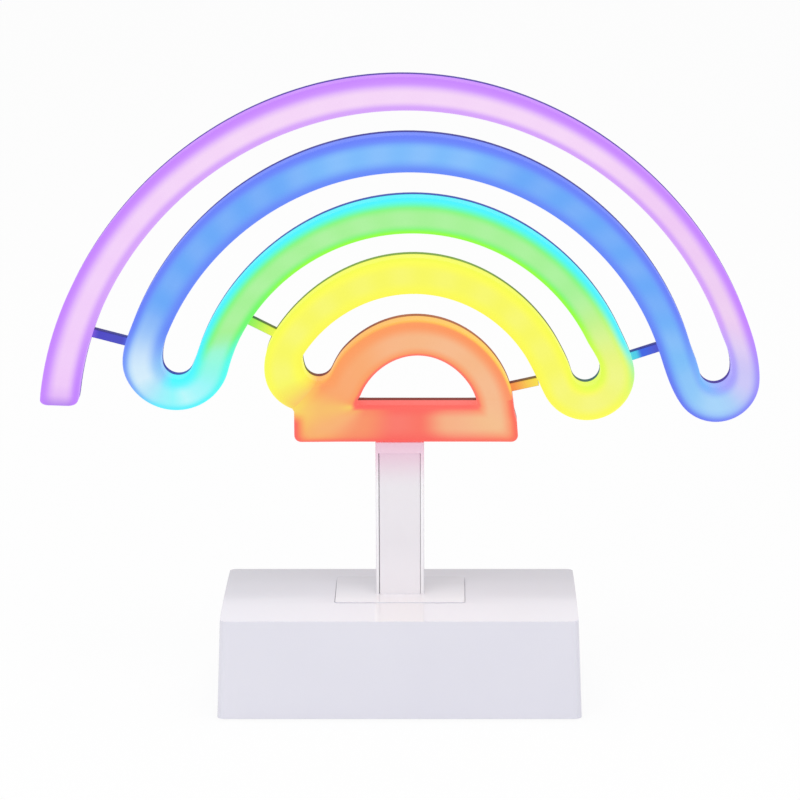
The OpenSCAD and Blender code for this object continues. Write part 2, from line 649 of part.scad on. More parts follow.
module base_housing() {
    color([0.90, 0.89, 0.93]) difference() {
        intersection() {
            base_block(0, foot_proud);
            top_curve(0);
        }
        difference() {
            intersection() {
                base_block(base_wall, foot_proud - 1);
                top_curve(base_wall);
            }
            at_bottom_screws(bottom_top) cylinder(h = base_front_h, r = post_r);
            translate([-plate_w / 2 - 2, column_y - plate_d / 2 - 2, pad_under])
                cube([plate_w + 4, plate_d + 4, base_front_h]);
        }
        at_bottom_screws(bottom_top - 1) cylinder(h = bottom_screw_l + 1, r = screw_r + bore_fit);
        translate([0, column_y, plate_top - plate_t]) linear_extrude(plate_t + 3)
            plate_outline(plate_w + 2 * snug, plate_d + 2 * snug);
        translate([-tenon_w / 2 - snug, column_y - tenon_d / 2 - snug, pad_under - 1])
            cube([tenon_w + 2 * snug, tenon_d + 2 * snug, 10]);
        for (x = [-plate_screw_x, plate_screw_x]) translate([x, column_y, pad_under - 1])
            cylinder(h = 10, r = plate_pin_r + snug);
        translate([switch_x - slot_w / 2 - loose, board_y[1], switch_z - knob_h / 2 - loose])
            cube([slot_w + 2 * loose, 10, knob_h + 2 * loose]);
        translate([switch_x - recess_w / 2, rear_at_knob - recess_deep, switch_z - recess_h / 2])
            cube([recess_w, 10, recess_h]);
        translate([inlet_x, board_y[1], inlet_z])
            oval_bar(inlet_w + 2 * loose, inlet_h + 2 * loose, 10);
    }
}

// Battery bay under the left half of the bottom plate
cell_pitch = cell_d + cell_gap;
bay_d = cell_count * cell_pitch;
cell_z = foot_proud + door_t + loose + cell_d / 2;
bay_roof = cell_z + cell_d / 2 + loose;
ledge = 1.8;
door_fit = 0.3;
lead_pass_z = cell_z + 4;
function cell_y(k) = (k - (cell_count - 1) / 2) * cell_pitch;
plus_y = cell_y(cell_count - 1);
minus_y = cell_y(0);
bottom_w = base_w - 2 * base_wall - 2 * loose - 2 * lean(bottom_top);
bottom_d = base_d - 2 * base_wall - 2 * loose - 2 * lean(bottom_top);
foot_pocket = 1;
foot_x = base_w / 2 - foot_d / 2 - 5;
foot_y = base_d / 2 - foot_d / 2 - 4.5;
sink = screw_head_h + 0.2;
module at_feet(z) {
    for (x = [-foot_x, foot_x], y = [-foot_y, foot_y]) translate([x, y, z]) children();
}
module base_bottom() {
    color([0.88, 0.87, 0.91]) difference() {
        union() {
            translate([0, 0, foot_proud]) linear_extrude(bottom_t) rounded(bottom_w, bottom_d, 1.5);
            translate([bay_left - bay_wall, -bay_d / 2 - bay_wall, foot_proud])
                cube([bay_l + 2 * bay_wall, bay_d + 2 * bay_wall, bay_roof + bay_wall - foot_proud]);
            for (s = board_sites) translate([s[0], s[1], foot_proud])
                cylinder(h = board_z - foot_proud, r = board_post_r);
        }
        translate([bay_left, -bay_d / 2, foot_proud - 1]) cube([bay_l, bay_d, bay_roof - foot_proud + 1]);
        translate([bay_left - ledge, -bay_d / 2 - ledge, foot_proud - 1])
            cube([bay_l + 2 * ledge, bay_d + 2 * ledge, door_t + 1]);
        for (s = board_sites) translate([s[0], s[1], board_top - board_screw_l])
            cylinder(h = board_screw_l, r = board_screw_r + bore_fit);
        at_feet(foot_proud - 1) cylinder(h = foot_pocket + 1, r = foot_d / 2 + snug);
        at_bottom_screws(foot_proud - 1) cylinder(h = bottom_t + 2, r = screw_r + snug);
        at_bottom_screws(foot_proud - 1) cylinder(h = sink + 1, r = screw_head_r + snug);
        translate([bay_right - 1, plus_y, lead_pass_z]) rotate([0, 90, 0])
            cylinder(h = bay_wall + 2, r = lead_r + snug);
        translate([bay_left + 1, minus_y, lead_pass_z]) rotate([0, -90, 0])
            cylinder(h = bay_wall + 2, r = lead_r + snug);
    }
}
module bottom_screws() {
    color([0.72, 0.72, 0.75]) at_bottom_screws(foot_proud + sink)
        small_screw(bottom_t - sink + bottom_screw_l - 1);
}
module rubber_feet() {
    color([0.80, 0.80, 0.82]) at_feet(0) cylinder(h = foot_proud + foot_pocket, r = foot_d / 2);
}
door_l = bay_l + 2 * ledge - 2 * door_fit;
door_w = bay_d + 2 * ledge - 2 * door_fit;
grip_r = 9;
grip_deep = 0.8;
grip_w = 16;
module battery_door() {
    color([0.89, 0.88, 0.92]) difference() {
        translate([bay_mid - door_l / 2, -door_w / 2, foot_proud]) cube([door_l, door_w, door_t]);
        for (k = [0:2]) translate([bay_right - 4 - 3 * k, 0, foot_proud + grip_deep - grip_r])
            rotate([90, 0, 0]) cylinder(h = grip_w, r = grip_r, center = true);
    }
}
button_h = 1;
button_r = 2.75;
module battery_cells() {
    color([0.25, 0.45, 0.35]) for (k = [0:cell_count - 1]) {
        way = k % 2 == 0 ? 1 : -1;
        end = way > 0 ? bay_right - contact_t : bay_left + contact_t;
        translate([end, cell_y(k), cell_z]) rotate([0, -90 * way, 0]) {
            cylinder(h = button_h + 1, r = button_r);
            translate([0, 0, button_h]) cylinder(h = cell_l - button_h, r = cell_d / 2);
        }
    }
}

// Each battery spring is one coil that narrows towards its cell
spring_wire_r = 0.35;
spring_base_r = 4.4;
spring_tip_r = 2.6;
spring_curls = 3.5;
curl_rings = 8;
spring_rings = spring_curls * curl_rings;
function spring_point(q) = [spring_wire_r + (spring_l - 2 * spring_wire_r) * q,
    (spring_base_r + (spring_tip_r - spring_base_r) * q) * cos(360 * spring_curls * q),
    (spring_base_r + (spring_tip_r - spring_base_r) * q) * sin(360 * spring_curls * q)];
spring_path = [for (i = [0:spring_rings]) spring_point(i / spring_rings)];
spring_gap = min([for (i = [0:spring_rings - curl_rings + 1], j = [i + curl_rings - 1:spring_rings])
    norm(spring_path[i] - spring_path[j])]) - 2 * spring_wire_r;
echo(spring_gap = spring_gap);
module battery_springs() {
    color([0.80, 0.80, 0.82]) for (k = [0:cell_count - 1]) {
        way = k % 2 == 0 ? 1 : -1;
        start = way > 0 ? bay_left + contact_t : bay_right - contact_t;
        translate([start, cell_y(k), cell_z]) rotate([0, 0, way > 0 ? 0 : 180])
            tube(spring_path, spring_wire_r, 6);
    }
}
contact_h = 9;
contact_side = 5;
module contact(x, y0, y1) {
    translate([x, y0 - contact_side, cell_z - contact_h / 2])
        cube([contact_t, y1 - y0 + 2 * contact_side, contact_h]);
}
module battery_contacts() {
    color([0.82, 0.82, 0.84]) {
        contact(bay_left, minus_y, minus_y);
        contact(bay_right - contact_t, plus_y, plus_y);
        for (k = [0:cell_count - 2])
            contact(k % 2 == 0 ? bay_right - contact_t : bay_left, cell_y(k), cell_y(k + 1));
    }
}

// Header on the board where all four leads end
header_l = 10;
header_x = [board_x[0] + 0.28 * board_l, board_x[0] + 0.28 * board_l + header_l];
header_y = [-4.5, 0.5];
header_h = 6;
header_top = board_top + header_h;
header_lead_z = board_top + 3;
header_in = 1.2;
straight = 5;
module battery_lead_plus() {
    color([0.85, 0.12, 0.12]) tube(eased([[bay_right, plus_y, lead_pass_z],
        [bay_right + 4, plus_y, lead_pass_z], [bay_right + 8, plus_y - 8, header_lead_z + 3],
        [header_x[0] - straight, header_y[1] - header_in, header_lead_z],
        [header_x[0], header_y[1] - header_in, header_lead_z]]), lead_r);
}
module battery_lead_minus() {
    over = bay_roof + bay_wall + lead_r + 0.1;
    out = bay_left - bay_wall - 2.4;
    clear_x = bay_right + bay_wall + 2;
    color([0.12, 0.12, 0.12]) tube(eased([[bay_left, minus_y, lead_pass_z], [out, minus_y, lead_pass_z],
        [out, minus_y + 2, over], [bay_left + 4, minus_y + 2, over], [bay_right - 4, header_y[0], over],
        [clear_x, header_y[0], over],
        [header_x[0] - straight, header_y[0] + header_in, header_lead_z],
        [header_x[0], header_y[0] + header_in, header_lead_z]]), lead_r);
}
// The two lamp leads run one behind the other, and the front one ends higher on the strip
lead_apart = 0.8;
module lamp_lead(side, x_start) {
    off = side * lead_apart;
    y_start = (header_y[0] + header_y[1]) / 2;
    y_plug = plug_back - plug_d / 2 + off;
    z_bar = head_z + bar_mid - 1.2 * off;
    z_slack = pad_under - 7.5;
    z_channel = plate_top + column_floor;
    tube(eased([[x_start, y_start, header_top], [x_start, y_start, header_top + 6],
        [x_start - 10, off, z_slack - 1], [straight, column_y + off, z_slack],
        [0, column_y + off, pad_under - 3.5], [0, column_y + off, z_channel + 2],
        [0, y_plug, z_channel + 12], [0, y_plug, z_bar - 2.5], [0, y_plug + 1, z_bar],
        [0, strip_face - head_front, z_bar]]), lead_r);
}
header_pin = 3;
module lamp_lead_plus() { color([0.85, 0.12, 0.12]) lamp_lead(1, header_x[1] - header_pin); }
module lamp_lead_minus() { color([0.12, 0.12, 0.12]) lamp_lead(-1, header_x[0] + header_pin); }
module driver_board() {
    color([0.10, 0.42, 0.25]) difference() {
        translate([board_x[0], board_y[0], board_z])
            cube([board_l, board_y[1] - board_y[0], board_t]);
        for (s = board_sites) translate([s[0], s[1], board_z - 1])
            cylinder(h = board_t + 2, r = board_screw_r + snug);
    }
}
module board_screws() {
    color([0.75, 0.75, 0.78]) for (s = board_sites) {
        translate([s[0], s[1], board_top]) cylinder(h = board_head_h, r = 2 * board_screw_r);
        translate([s[0], s[1], board_top - board_screw_l])
            cylinder(h = board_screw_l + 0.5, r = board_screw_r);
    }
}

// Parts on the board, placed from its front left corner by a share of its length
module on_board(share, y) {
    translate([board_x[0] + share * board_l, board_y[0] + y, board_top]) children();
}
module controller_chip() { color([0.12, 0.12, 0.13]) on_board(0.57, 14) cube([6, 5, 1.5]); }
module smoothing_capacitor() { color([0.15, 0.18, 0.30]) on_board(0.28, 20) cylinder(h = 7, r = 3); }
module resistors() {
    color([0.20, 0.20, 0.22]) for (k = [0:3]) on_board(0.55 + 0.1 * k, 23) cube([1.6, 3.2, 0.6]);
}
module lead_header() {
    color([0.93, 0.92, 0.88]) translate([header_x[0], header_y[0], board_top])
        cube([header_x[1] - header_x[0], header_y[1] - header_y[0], header_h]);
}
module power_inlet() {
    color([0.75, 0.75, 0.78]) difference() {
        translate([inlet_x, inlet_y[0], inlet_z]) oval_bar(inlet_w, inlet_h, inlet_y[1] - inlet_y[0]);
        translate([inlet_x, inlet_y[0] + 1, inlet_z])
            oval_bar(inlet_w - 2 * inlet_wall, inlet_h - 2 * inlet_wall, 20);
    }
}
tongue_w = 6.6;
tongue_t = 0.7;
module inlet_tongue() {
    color([0.12, 0.12, 0.13]) translate([inlet_x - tongue_w / 2, inlet_y[0] + 1, inlet_z - tongue_t / 2])
        cube([tongue_w, 5, tongue_t]);
}
module switch_body() {
    color([0.15, 0.15, 0.16]) difference() {
        translate([switch_x - switch_w / 2, switch_y[0], board_top])
            cube([switch_w, switch_y[1] - switch_y[0], switch_h]);
        translate([switch_x - slot_w / 2 - snug, knob_root - 0.1, switch_z - knob_h / 2 - snug])
            cube([slot_w + 2 * snug, 10, knob_h + 2 * snug]);
    }
}
ridge = 0.4;
module switch_knob() {
    color([0.90, 0.90, 0.92]) difference() {
        translate([knob_x - knob_w / 2, knob_root, switch_z - knob_h / 2])
            cube([knob_w, rear_at_knob - knob_root - 0.1, knob_h]);
        for (k = [-1:1]) translate([knob_x + k * 0.9 - ridge / 2, rear_at_knob - 0.5, switch_z - knob_h])
            cube([ridge, 2, 2 * knob_h]);
    }
}

shell_purple();
shell_blue();
shell_green();
shell_yellow();
shell_orange();
rear_cover();
window_cover();
cover_screws();
light_strip();
chips_purple();
chips_blue();
chips_green();
chips_yellow();
chips_orange();
head_plug();
stand_column();
column_panel();
foot_plate();
plate_screws();
stand_washer();
stand_screws();
lamp_lead_plus();
lamp_lead_minus();
base_housing();
base_bottom();
bottom_screws();
rubber_feet();
battery_door();
battery_cells();
battery_springs();
battery_contacts();
battery_lead_plus();
battery_lead_minus();
driver_board();
board_screws();
controller_chip();
smoothing_capacitor();
resistors();
lead_header();
power_inlet();
inlet_tongue();
switch_body();
switch_knob();
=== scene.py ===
"""Rainbow neon lamp: a lit rainbow head on a short column and a battery base."""

import math

import bmesh
import bpy
from mathutils import Matrix, Vector


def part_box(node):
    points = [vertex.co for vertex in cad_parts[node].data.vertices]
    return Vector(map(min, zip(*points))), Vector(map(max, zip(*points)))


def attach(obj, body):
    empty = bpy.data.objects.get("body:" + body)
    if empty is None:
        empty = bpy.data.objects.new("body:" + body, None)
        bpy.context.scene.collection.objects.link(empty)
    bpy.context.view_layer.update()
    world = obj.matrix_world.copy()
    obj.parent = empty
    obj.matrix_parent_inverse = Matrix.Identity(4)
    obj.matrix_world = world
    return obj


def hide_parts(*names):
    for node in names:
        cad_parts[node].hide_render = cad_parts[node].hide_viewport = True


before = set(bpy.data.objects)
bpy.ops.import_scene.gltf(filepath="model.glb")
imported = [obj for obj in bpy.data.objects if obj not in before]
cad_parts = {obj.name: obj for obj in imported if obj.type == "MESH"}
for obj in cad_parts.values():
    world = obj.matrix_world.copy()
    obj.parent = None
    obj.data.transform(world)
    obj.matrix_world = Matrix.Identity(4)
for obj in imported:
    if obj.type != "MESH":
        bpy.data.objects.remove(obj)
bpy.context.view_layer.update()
MM = 0.001


def add_object(name, data):
    thing = bpy.data.objects.new(name, data)
    bpy.context.collection.objects.link(thing)
    return thing


# Camera, placed as the photograph was taken

IMAGE_PX = 800
FOCAL_PX = 3350
AXIS_PX = 445
SENSOR_MM = 36
CAMERA_AT = (0.0182, -1.2986, 0.4679)
LOOKS_DOWN = 14.9

camera_data = bpy.data.cameras.new("camera")
camera_data.sensor_width = SENSOR_MM
camera_data.lens = FOCAL_PX / IMAGE_PX * SENSOR_MM
camera_data.shift_x = -(AXIS_PX - IMAGE_PX / 2) / IMAGE_PX
camera_data.clip_end = 20
camera = add_object("camera", camera_data)
camera.location = CAMERA_AT
camera.rotation_euler = (math.radians(90 - LOOKS_DOWN), 0, 0)
bpy.context.scene.camera = camera
bpy.context.scene.view_settings.view_transform = "Standard"


# Colours are written as they look on screen, from 0 to 255

def linear(red, green, blue):
    def one(value):
        value = value / 255
        return value / 12.92 if value <= 0.04045 else ((value + 0.055) / 1.055) ** 2.4
    return (one(red), one(green), one(blue), 1)


def part_way(start, end, share):
    return start + (end - start) * share


def box_mm(node):
    """A node's lowest and highest corner, in millimetres."""
    return [[value / MM for value in corner_] for corner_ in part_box(node)]


# Outlines of the head: [centre x, centre z, radius, shoulder], with z above the head's underside.
# An arc is drawn in by its shoulder at 45 and 135 degrees, and pushed out as much at the top.

HEAD_Z = 106
HEAD_FRONT = -7
SHELL_DEEP = 10
COVER_DEEP = 5
COVER_BACK = SHELL_DEEP + COVER_DEEP
EDGE_R = 4
WALL = 1.6
FOOT_R = 2
BAR_TOP = 15.5
BAR_ENDS = (-42.3, 47.5)
BAR_CORNER_R = 2.5

PURPLE_OUT = (1.2, 1.7, 145.3, 0.8)
PURPLE_IN = (3, 1.8, 132.2, 0.4)
BLUE_OUT = (3.4, 7.1, 117.1, 0.5)
BLUE_IN = (4.3, 5.3, 104.2, 0.3)
GREEN_OUT = (5.4, 9.3, 90, 0.5)
GREEN_IN = (5.4, 8.2, 77, 0.1)
YELLOW_OUT = (5.6, 10, 65.2, 0.4)
YELLOW_IN = (5.8, 8.7, 51.9, 0.2)
ORANGE_OUT = (6.7, 11, 39.1, 0.2)
WINDOW_ARC = (7.3, 11.5, 24.1, 0.2)
RIGHT_TURN = (126.7, 25.4, 17.2, 0)
RIGHT_SLOT = (126.3, 28.8, 6.3, 0)
LEFT_TURN = (-89.3, 34.7, 21.6, 0)
LEFT_SLOT = (-88.8, 32.2, 6.2, 0)
LOW_TURN = (75, 27.8, 18.9, 0)
LOW_SLOT = (74.5, 28.9, 5.8, 0)
BULGE_TURN = (-37.3, 29.3, 16.6, 0)
BULGE_SLOT = (-32.5, 31.2, 5.8, 0)


def on(circle, degrees):
    """A point on a circle of the head, as x and z in millimetres."""
    turn = math.radians(degrees)
    reach = circle[2] + circle[3] * math.cos(4 * turn)
    return Vector((circle[0] + reach * math.cos(turn), circle[1] + reach * math.sin(turn)))


def rails(stretch):
    """Pairs of points on the two sides of a band: [first circle, second circle, four angles, steps]."""
    first, second, first_from, first_to, second_from, second_to, steps = stretch
    return [(on(first, part_way(first_from, first_to, k / steps)),
             on(second, part_way(second_from, second_to, k / steps))) for k in range(steps + 1)]


def heading(degrees, way):
    """Which way a path runs at an angle of its circle; way is 1 anticlockwise and -1 clockwise."""
    turn = math.radians(degrees)
    return Vector((-math.sin(turn), math.cos(turn))) * way


def bent(start, start_heading, end, end_heading, share):
    """A point of the smooth curve that leaves one point and reaches another in given headings."""
    pull = (end - start).length
    leaving = start_heading * pull * (share ** 3 - 2 * share ** 2 + share)
    arriving = end_heading * pull * (share ** 3 - share ** 2)
    return (start * (2 * share ** 3 - 3 * share ** 2 + 1) + leaving
            + end * (3 * share ** 2 - 2 * share ** 3) + arriving)


LINK_STEPS = 10


def linked(before, after):
    """Pairs between the end of one stretch and the start of the next."""
    start, end = rails(before)[-1], rails(after)[0]
    way_out = 1 if before[3] > before[2] else -1
    way_in = 1 if after[3] > after[2] else -1
    return [(bent(start[0], heading(before[3], way_out), end[0], heading(after[2], way_in), k / LINK_STEPS),
             bent(start[1], heading(before[5], way_out), end[1], heading(after[4], way_in), k / LINK_STEPS))
            for k in range(1, LINK_STEPS)]


STRETCHES = [
    (PURPLE_OUT, PURPLE_IN, 174.5, 16, 174.2, 20, 96),
    (RIGHT_TURN, RIGHT_SLOT, 0, -145, -5, -170, 32),
    (BLUE_IN, BLUE_OUT, 20, 158, 16, 158, 84),
    (LEFT_SLOT, LEFT_TURN, 185, 335, 200, 345, 32),
    (GREEN_OUT, GREEN_IN, 160, 24, 153, 26, 64),
    (LOW_TURN, LOW_SLOT, -5, -155, -5, -165, 32),
    (YELLOW_IN, YELLOW_OUT, 30, 148, 28, 150, 56),
    (BULGE_SLOT, BULGE_TURN, 195, 270, 190, 250, 16)]
PURPLE_ARC, RIGHT, BLUE_ARC, LEFT, GREEN_ARC, LOW, YELLOW_ARC, BULGE = range(8)

# The tube of light runs through all the stretches; starts tells where each one begins
tube_rails = []
starts = []
for number, stretch in enumerate(STRETCHES):
    if number:
        tube_rails += linked(STRETCHES[number - 1], stretch)
    starts.append(len(tube_rails))
    tube_rails += rails(stretch)

# Where one colour's moulding ends and the next begins
PURPLE_END = starts[RIGHT] + 2
BLUE_END = starts[LEFT] + 12
GREEN_END = starts[LOW] + 8


def lengths_along(pairs):
    """Distance of each pair along the middle of the band, in millimetres."""
    far = [0]
    for k in range(1, len(pairs)):
        step = (pairs[k][0] + pairs[k][1]) / 2 - (pairs[k - 1][0] + pairs[k - 1][1]) / 2
        far.append(far[-1] + step.length)
    return far


tube_far = lengths_along(tube_rails)


# The bar with its half-round window is a closed loop of pairs
half_floor = math.sqrt(WINDOW_ARC[2] ** 2 - (BAR_TOP - WINDOW_ARC[1]) ** 2) + 0.5
FLOOR_ENDS = (WINDOW_ARC[0] - half_floor, WINDOW_ARC[0] + half_floor)
joint_pair = tube_rails[-1]


def corner(x, z, degrees):
    turn = math.radians(degrees)
    return Vector((x + BAR_CORNER_R * math.cos(turn), z + BAR_CORNER_R * math.sin(turn)))


def floor_point(share):
    return Vector((part_way(*FLOOR_ENDS, share), BAR_TOP))


def bottom_rails(x_from, x_to, share_from, share_to, steps):
    """Pairs along the bar's underside, each with its point of the window's floor."""
    return [(Vector((part_way(x_from, x_to, k / steps), 0)),
             floor_point(part_way(share_from, share_to, k / steps))) for k in range(1, steps + 1)]


# Angles where the orange arc ends, outside and at the window, and where the bulge's slot takes over and
# how far it turns
ARC_TO, WINDOW_TO, SLOT_FROM, SLOT_TURN = 138, 154, -25, 65
SLOT_STEPS = 6
CORNER_STEP = 15
LEFT_EDGE_TOP = 12.4
arc_rails = rails((ORANGE_OUT, WINDOW_ARC, 10, ARC_TO, 16, WINDOW_TO, 56))
arc_end, slot_start = arc_rails[-1][0], on(BULGE_SLOT, SLOT_FROM)
turn_rails = [(bent(arc_end, heading(ARC_TO, 1), slot_start, heading(SLOT_FROM, -1), k / 8),
               on(WINDOW_ARC, WINDOW_TO + k)) for k in range(1, 8)]
slot_rails = [(on(BULGE_SLOT, SLOT_FROM - SLOT_TURN * k / SLOT_STEPS),
               Vector((FLOOR_ENDS[0], BAR_TOP + 1.6 - 0.15 * k))) for k in range(SLOT_STEPS + 1)]
joint_rails = [(joint_pair[0].lerp(joint_pair[1], k / SLOT_STEPS), floor_point(0.002 * k))
               for k in range(1, SLOT_STEPS + 1)]
left_edge = [(Vector((BAR_ENDS[0], LEFT_EDGE_TOP)), floor_point(0.015)),
             (Vector((BAR_ENDS[0], BAR_TOP / 2)), floor_point(0.018))]
left_corner = [(corner(BAR_ENDS[0] + BAR_CORNER_R, BAR_CORNER_R, 180 + CORNER_STEP * k),
                floor_point(0.02 + 0.003 * k)) for k in range(7)]
floor_rails = (bottom_rails(BAR_ENDS[0] + BAR_CORNER_R, FLOOR_ENDS[0], 0.04, 0.09, 8)
               + bottom_rails(FLOOR_ENDS[0], FLOOR_ENDS[1], 0.09, 0.91, 20)
               + bottom_rails(FLOOR_ENDS[1], BAR_ENDS[1] - BAR_CORNER_R - 0.5, 0.91, 0.95, 5))
right_corner = [(corner(BAR_ENDS[1] - BAR_CORNER_R, BAR_CORNER_R, 270 + CORNER_STEP * k),
                 floor_point(0.955 + 0.003 * k)) for k in range(7)]
right_edge = [(Vector((BAR_ENDS[1] - 0.4, BAR_TOP / 2)), floor_point(0.98)),
              (Vector((BAR_ENDS[1] - 1.4, BAR_TOP - 4)), Vector((FLOOR_ENDS[1] - 0.4, BAR_TOP + 0.6)))]
bar_rails = (arc_rails + turn_rails + slot_rails + joint_rails + left_edge + left_corner + floor_rails
             + right_corner + right_edge)
JOINT_FROM = len(arc_rails) + len(turn_rails) + len(slot_rails)
JOINT_TO = JOINT_FROM + len(joint_rails) - 1


# Mesh making

def in_head(point, back):
    """A point of the head's plane, so far behind its front face, in metres."""
    return Vector((point.x, HEAD_FRONT + back, HEAD_Z + point.y)) * MM


EDGE_STEPS = 7
FLAT_STEPS = 5
SIDE_LINE = 0.55


def rounded_across(pair, near_r, far_r, front=0):
    """Places across a band: up one side, over the front and down the other side, with its share across."""
    across = pair[1] - pair[0]
    width = across.length
    across = across / width
    turns = [math.pi / 2 * k / EDGE_STEPS for k in range(EDGE_STEPS + 1)]
    places = [(0, SHELL_DEEP), (0, part_way(front + near_r, SHELL_DEEP, SIDE_LINE))]
    places += [(near_r - near_r * math.cos(turn), front + near_r - near_r * math.sin(turn)) for turn in turns]
    places += [(near_r + (width - near_r - far_r) * k / FLAT_STEPS, front) for k in range(1, FLAT_STEPS)]
    places += [(width - far_r + far_r * math.sin(turn), front + far_r - far_r * math.cos(turn))
               for turn in turns]
    places += [(width, part_way(front + far_r, SHELL_DEEP, SIDE_LINE)), (width, SHELL_DEEP)]
    return [(in_head(pair[0] + across * side, back), side / width) for side, back in places]


def draw_on(mesh, line, places):
    """Extrudes a line of vertices on to new places and returns the new line."""
    edges = [mesh.edges.get((line[k], line[k + 1])) for k in range(len(line) - 1)]
    made = bmesh.ops.extrude_edge_only(mesh, edges=edges)["geom"]
    fresh = {part for part in made if isinstance(part, bmesh.types.BMVert)}
    drawn = []
    for vert, place in zip(line, places):
        new = next(edge.other_vert(vert) for edge in vert.link_edges if edge.other_vert(vert) in fresh)
        new.co = place
        drawn.append(new)
    return drawn


def first_line(mesh, places):
    line = [mesh.verts.new(place) for place in places]
    for k in range(len(line) - 1):
        mesh.edges.new((line[k], line[k + 1]))
    return line


def band_skin(mesh, rings, far):
    """Draws a band's skin along its rings, and lays along and across on its faces as a UV map."""
    lay = mesh.verts.layers.float_vector.new("lay")
    line = first_line(mesh, [place for place, _ in rings[0]])
    lines = [line]
    for ring in rings[1:]:
        line = draw_on(mesh, line, [place for place, _ in ring])
        lines.append(line)
    for line, ring, along in zip(lines, rings, far):
        for vert, (_, share) in zip(line, ring):
            vert[lay] = (along, share, 0)
    return lines


def lay_to_uv(mesh):
    """Turns the vertices' own along and across into the mesh's UV map."""
    lay = mesh.verts.layers.float_vector["lay"]
    uv = mesh.loops.layers.uv.new("along_across")
    for face in mesh.faces:
        for loop in face.loops:
            loop[uv].uv = loop.vert[lay].xy


MERGE = 1e-6
CAD_MERGE = 2e-6


def merged(mesh, distance=MERGE):
    bmesh.ops.remove_doubles(mesh, verts=mesh.verts[:], dist=distance)


def node_copy(node):
    """A bmesh of a CAD node's triangles, merged."""
    mesh = bmesh.new()
    mesh.from_mesh(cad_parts[node].data)
    merged(mesh, CAD_MERGE)
    return mesh


def made_flat(mesh, angle):
    """Joins neighbouring faces that lie in one plane."""
    bmesh.ops.dissolve_limit(mesh, angle_limit=angle, verts=mesh.verts[:], edges=mesh.edges[:],
                             use_dissolve_boundaries=False, delimit=set())


def round_off(mesh, edges, radius_mm, segments=3):
    bmesh.ops.bevel(mesh, geom=edges, offset=radius_mm * MM, offset_type="OFFSET", segments=segments,
                    profile=0.5, affect="EDGES", clamp_overlap=True, material=-1)


def pushed(mesh, faces, way):
    """Extrudes faces and moves the new ones."""
    made = bmesh.ops.extrude_face_region(mesh, geom=faces)["geom"]
    bmesh.ops.translate(mesh, verts=[part for part in made if isinstance(part, bmesh.types.BMVert)], vec=way)


def face_outwards(mesh):
    bmesh.ops.recalc_face_normals(mesh, faces=mesh.faces[:])


def thicken(mesh, faces_back=False):
    """Gives an open skin its wall, inwards; the skin faces the front, or the back."""
    face_outwards(mesh)
    if (sum(face.normal.y * face.calc_area() for face in mesh.faces) > 0) != faces_back:
        bmesh.ops.reverse_faces(mesh, faces=mesh.faces[:])
    bmesh.ops.solidify(mesh, geom=mesh.faces[:], thickness=WALL * MM)


def finish_mesh(mesh, name, material, body, stands_for, smooth_below=40, flat_faces=False):
    """Makes a piece of a bmesh, rides it on its body and hides the nodes it stands for."""
    data = bpy.data.meshes.new(name)
    mesh.to_mesh(data)
    mesh.free()
    for face in data.polygons:
        face.use_smooth = True
    data.set_sharp_from_angle(angle=math.radians(smooth_below))
    piece = add_object(name, data)
    data.materials.append(material)
    if flat_faces:
        evened = piece.modifiers.new("even faces", "WEIGHTED_NORMAL")
        evened.mode = "FACE_AREA"
        evened.weight = 80
        evened.keep_sharp = True
    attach(piece, body)
    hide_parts(*stands_for)


# Materials

def new_group(name, inputs, outputs):
    """An empty shader node group with named sockets."""
    group = bpy.data.node_groups.new(name, "ShaderNodeTree")
    for label, kind, value in inputs:
        socket = group.interface.new_socket(name=label, in_out="INPUT", socket_type=kind)
        if value is not None:
            socket.default_value = value
    for label, kind in outputs:
        group.interface.new_socket(name=label, in_out="OUTPUT", socket_type=kind)
    return group, group.nodes.new("NodeGroupInput"), group.nodes.new("NodeGroupOutput")


def give(node, values):
    """Sets a node's unlinked inputs."""
    for label, value in values.items():
        node.inputs[label].default_value = value


def parts_of(tree, vector):
    """The X, Y and Z of a vector."""
    node = tree.nodes.new("ShaderNodeSeparateXYZ")
    tree.links.new(vector, node.inputs["Vector"])
    return node.outputs


def band_chart(tree):
    """Places along and across a band, from its own UV map."""
    chart = tree.nodes.new("ShaderNodeUVMap")
    chart.uv_map = "along_across"
    return parts_of(tree, chart.outputs["UV"])


def math_node(tree, operation, first, second=None, third=None):
    node = tree.nodes.new("ShaderNodeMath")
    node.operation = operation
    for k, value in enumerate((first, second, third)):
        if value is None:
            continue
        if isinstance(value, (int, float)):
            node.inputs[k].default_value = value
        else:
            tree.links.new(value, node.inputs[k])
    return node.outputs[0]


def spread(tree, value, low, high, to_low, to_high, smooth=False):
    node = tree.nodes.new("ShaderNodeMapRange")
    if smooth:
        node.interpolation_type = "SMOOTHSTEP"
    tree.links.new(value, node.inputs["Value"])
    for label, number in (("From Min", low), ("From Max", high), ("To Min", to_low), ("To Max", to_high)):
        if isinstance(number, (int, float)):
            node.inputs[label].default_value = number
        else:
            tree.links.new(number, node.inputs[label])
    return node.outputs["Result"]


def colour_mix(tree, share, first, second):
    """Mixes two colours, each a socket or a colour."""
    node = tree.nodes.new("ShaderNodeMix")
    node.data_type = "RGBA"
    for index, value in ((0, share), (6, first), (7, second)):
        if isinstance(value, bpy.types.NodeSocket):
            tree.links.new(value, node.inputs[index])
        else:
            node.inputs[index].default_value = value
    return node.outputs[2]


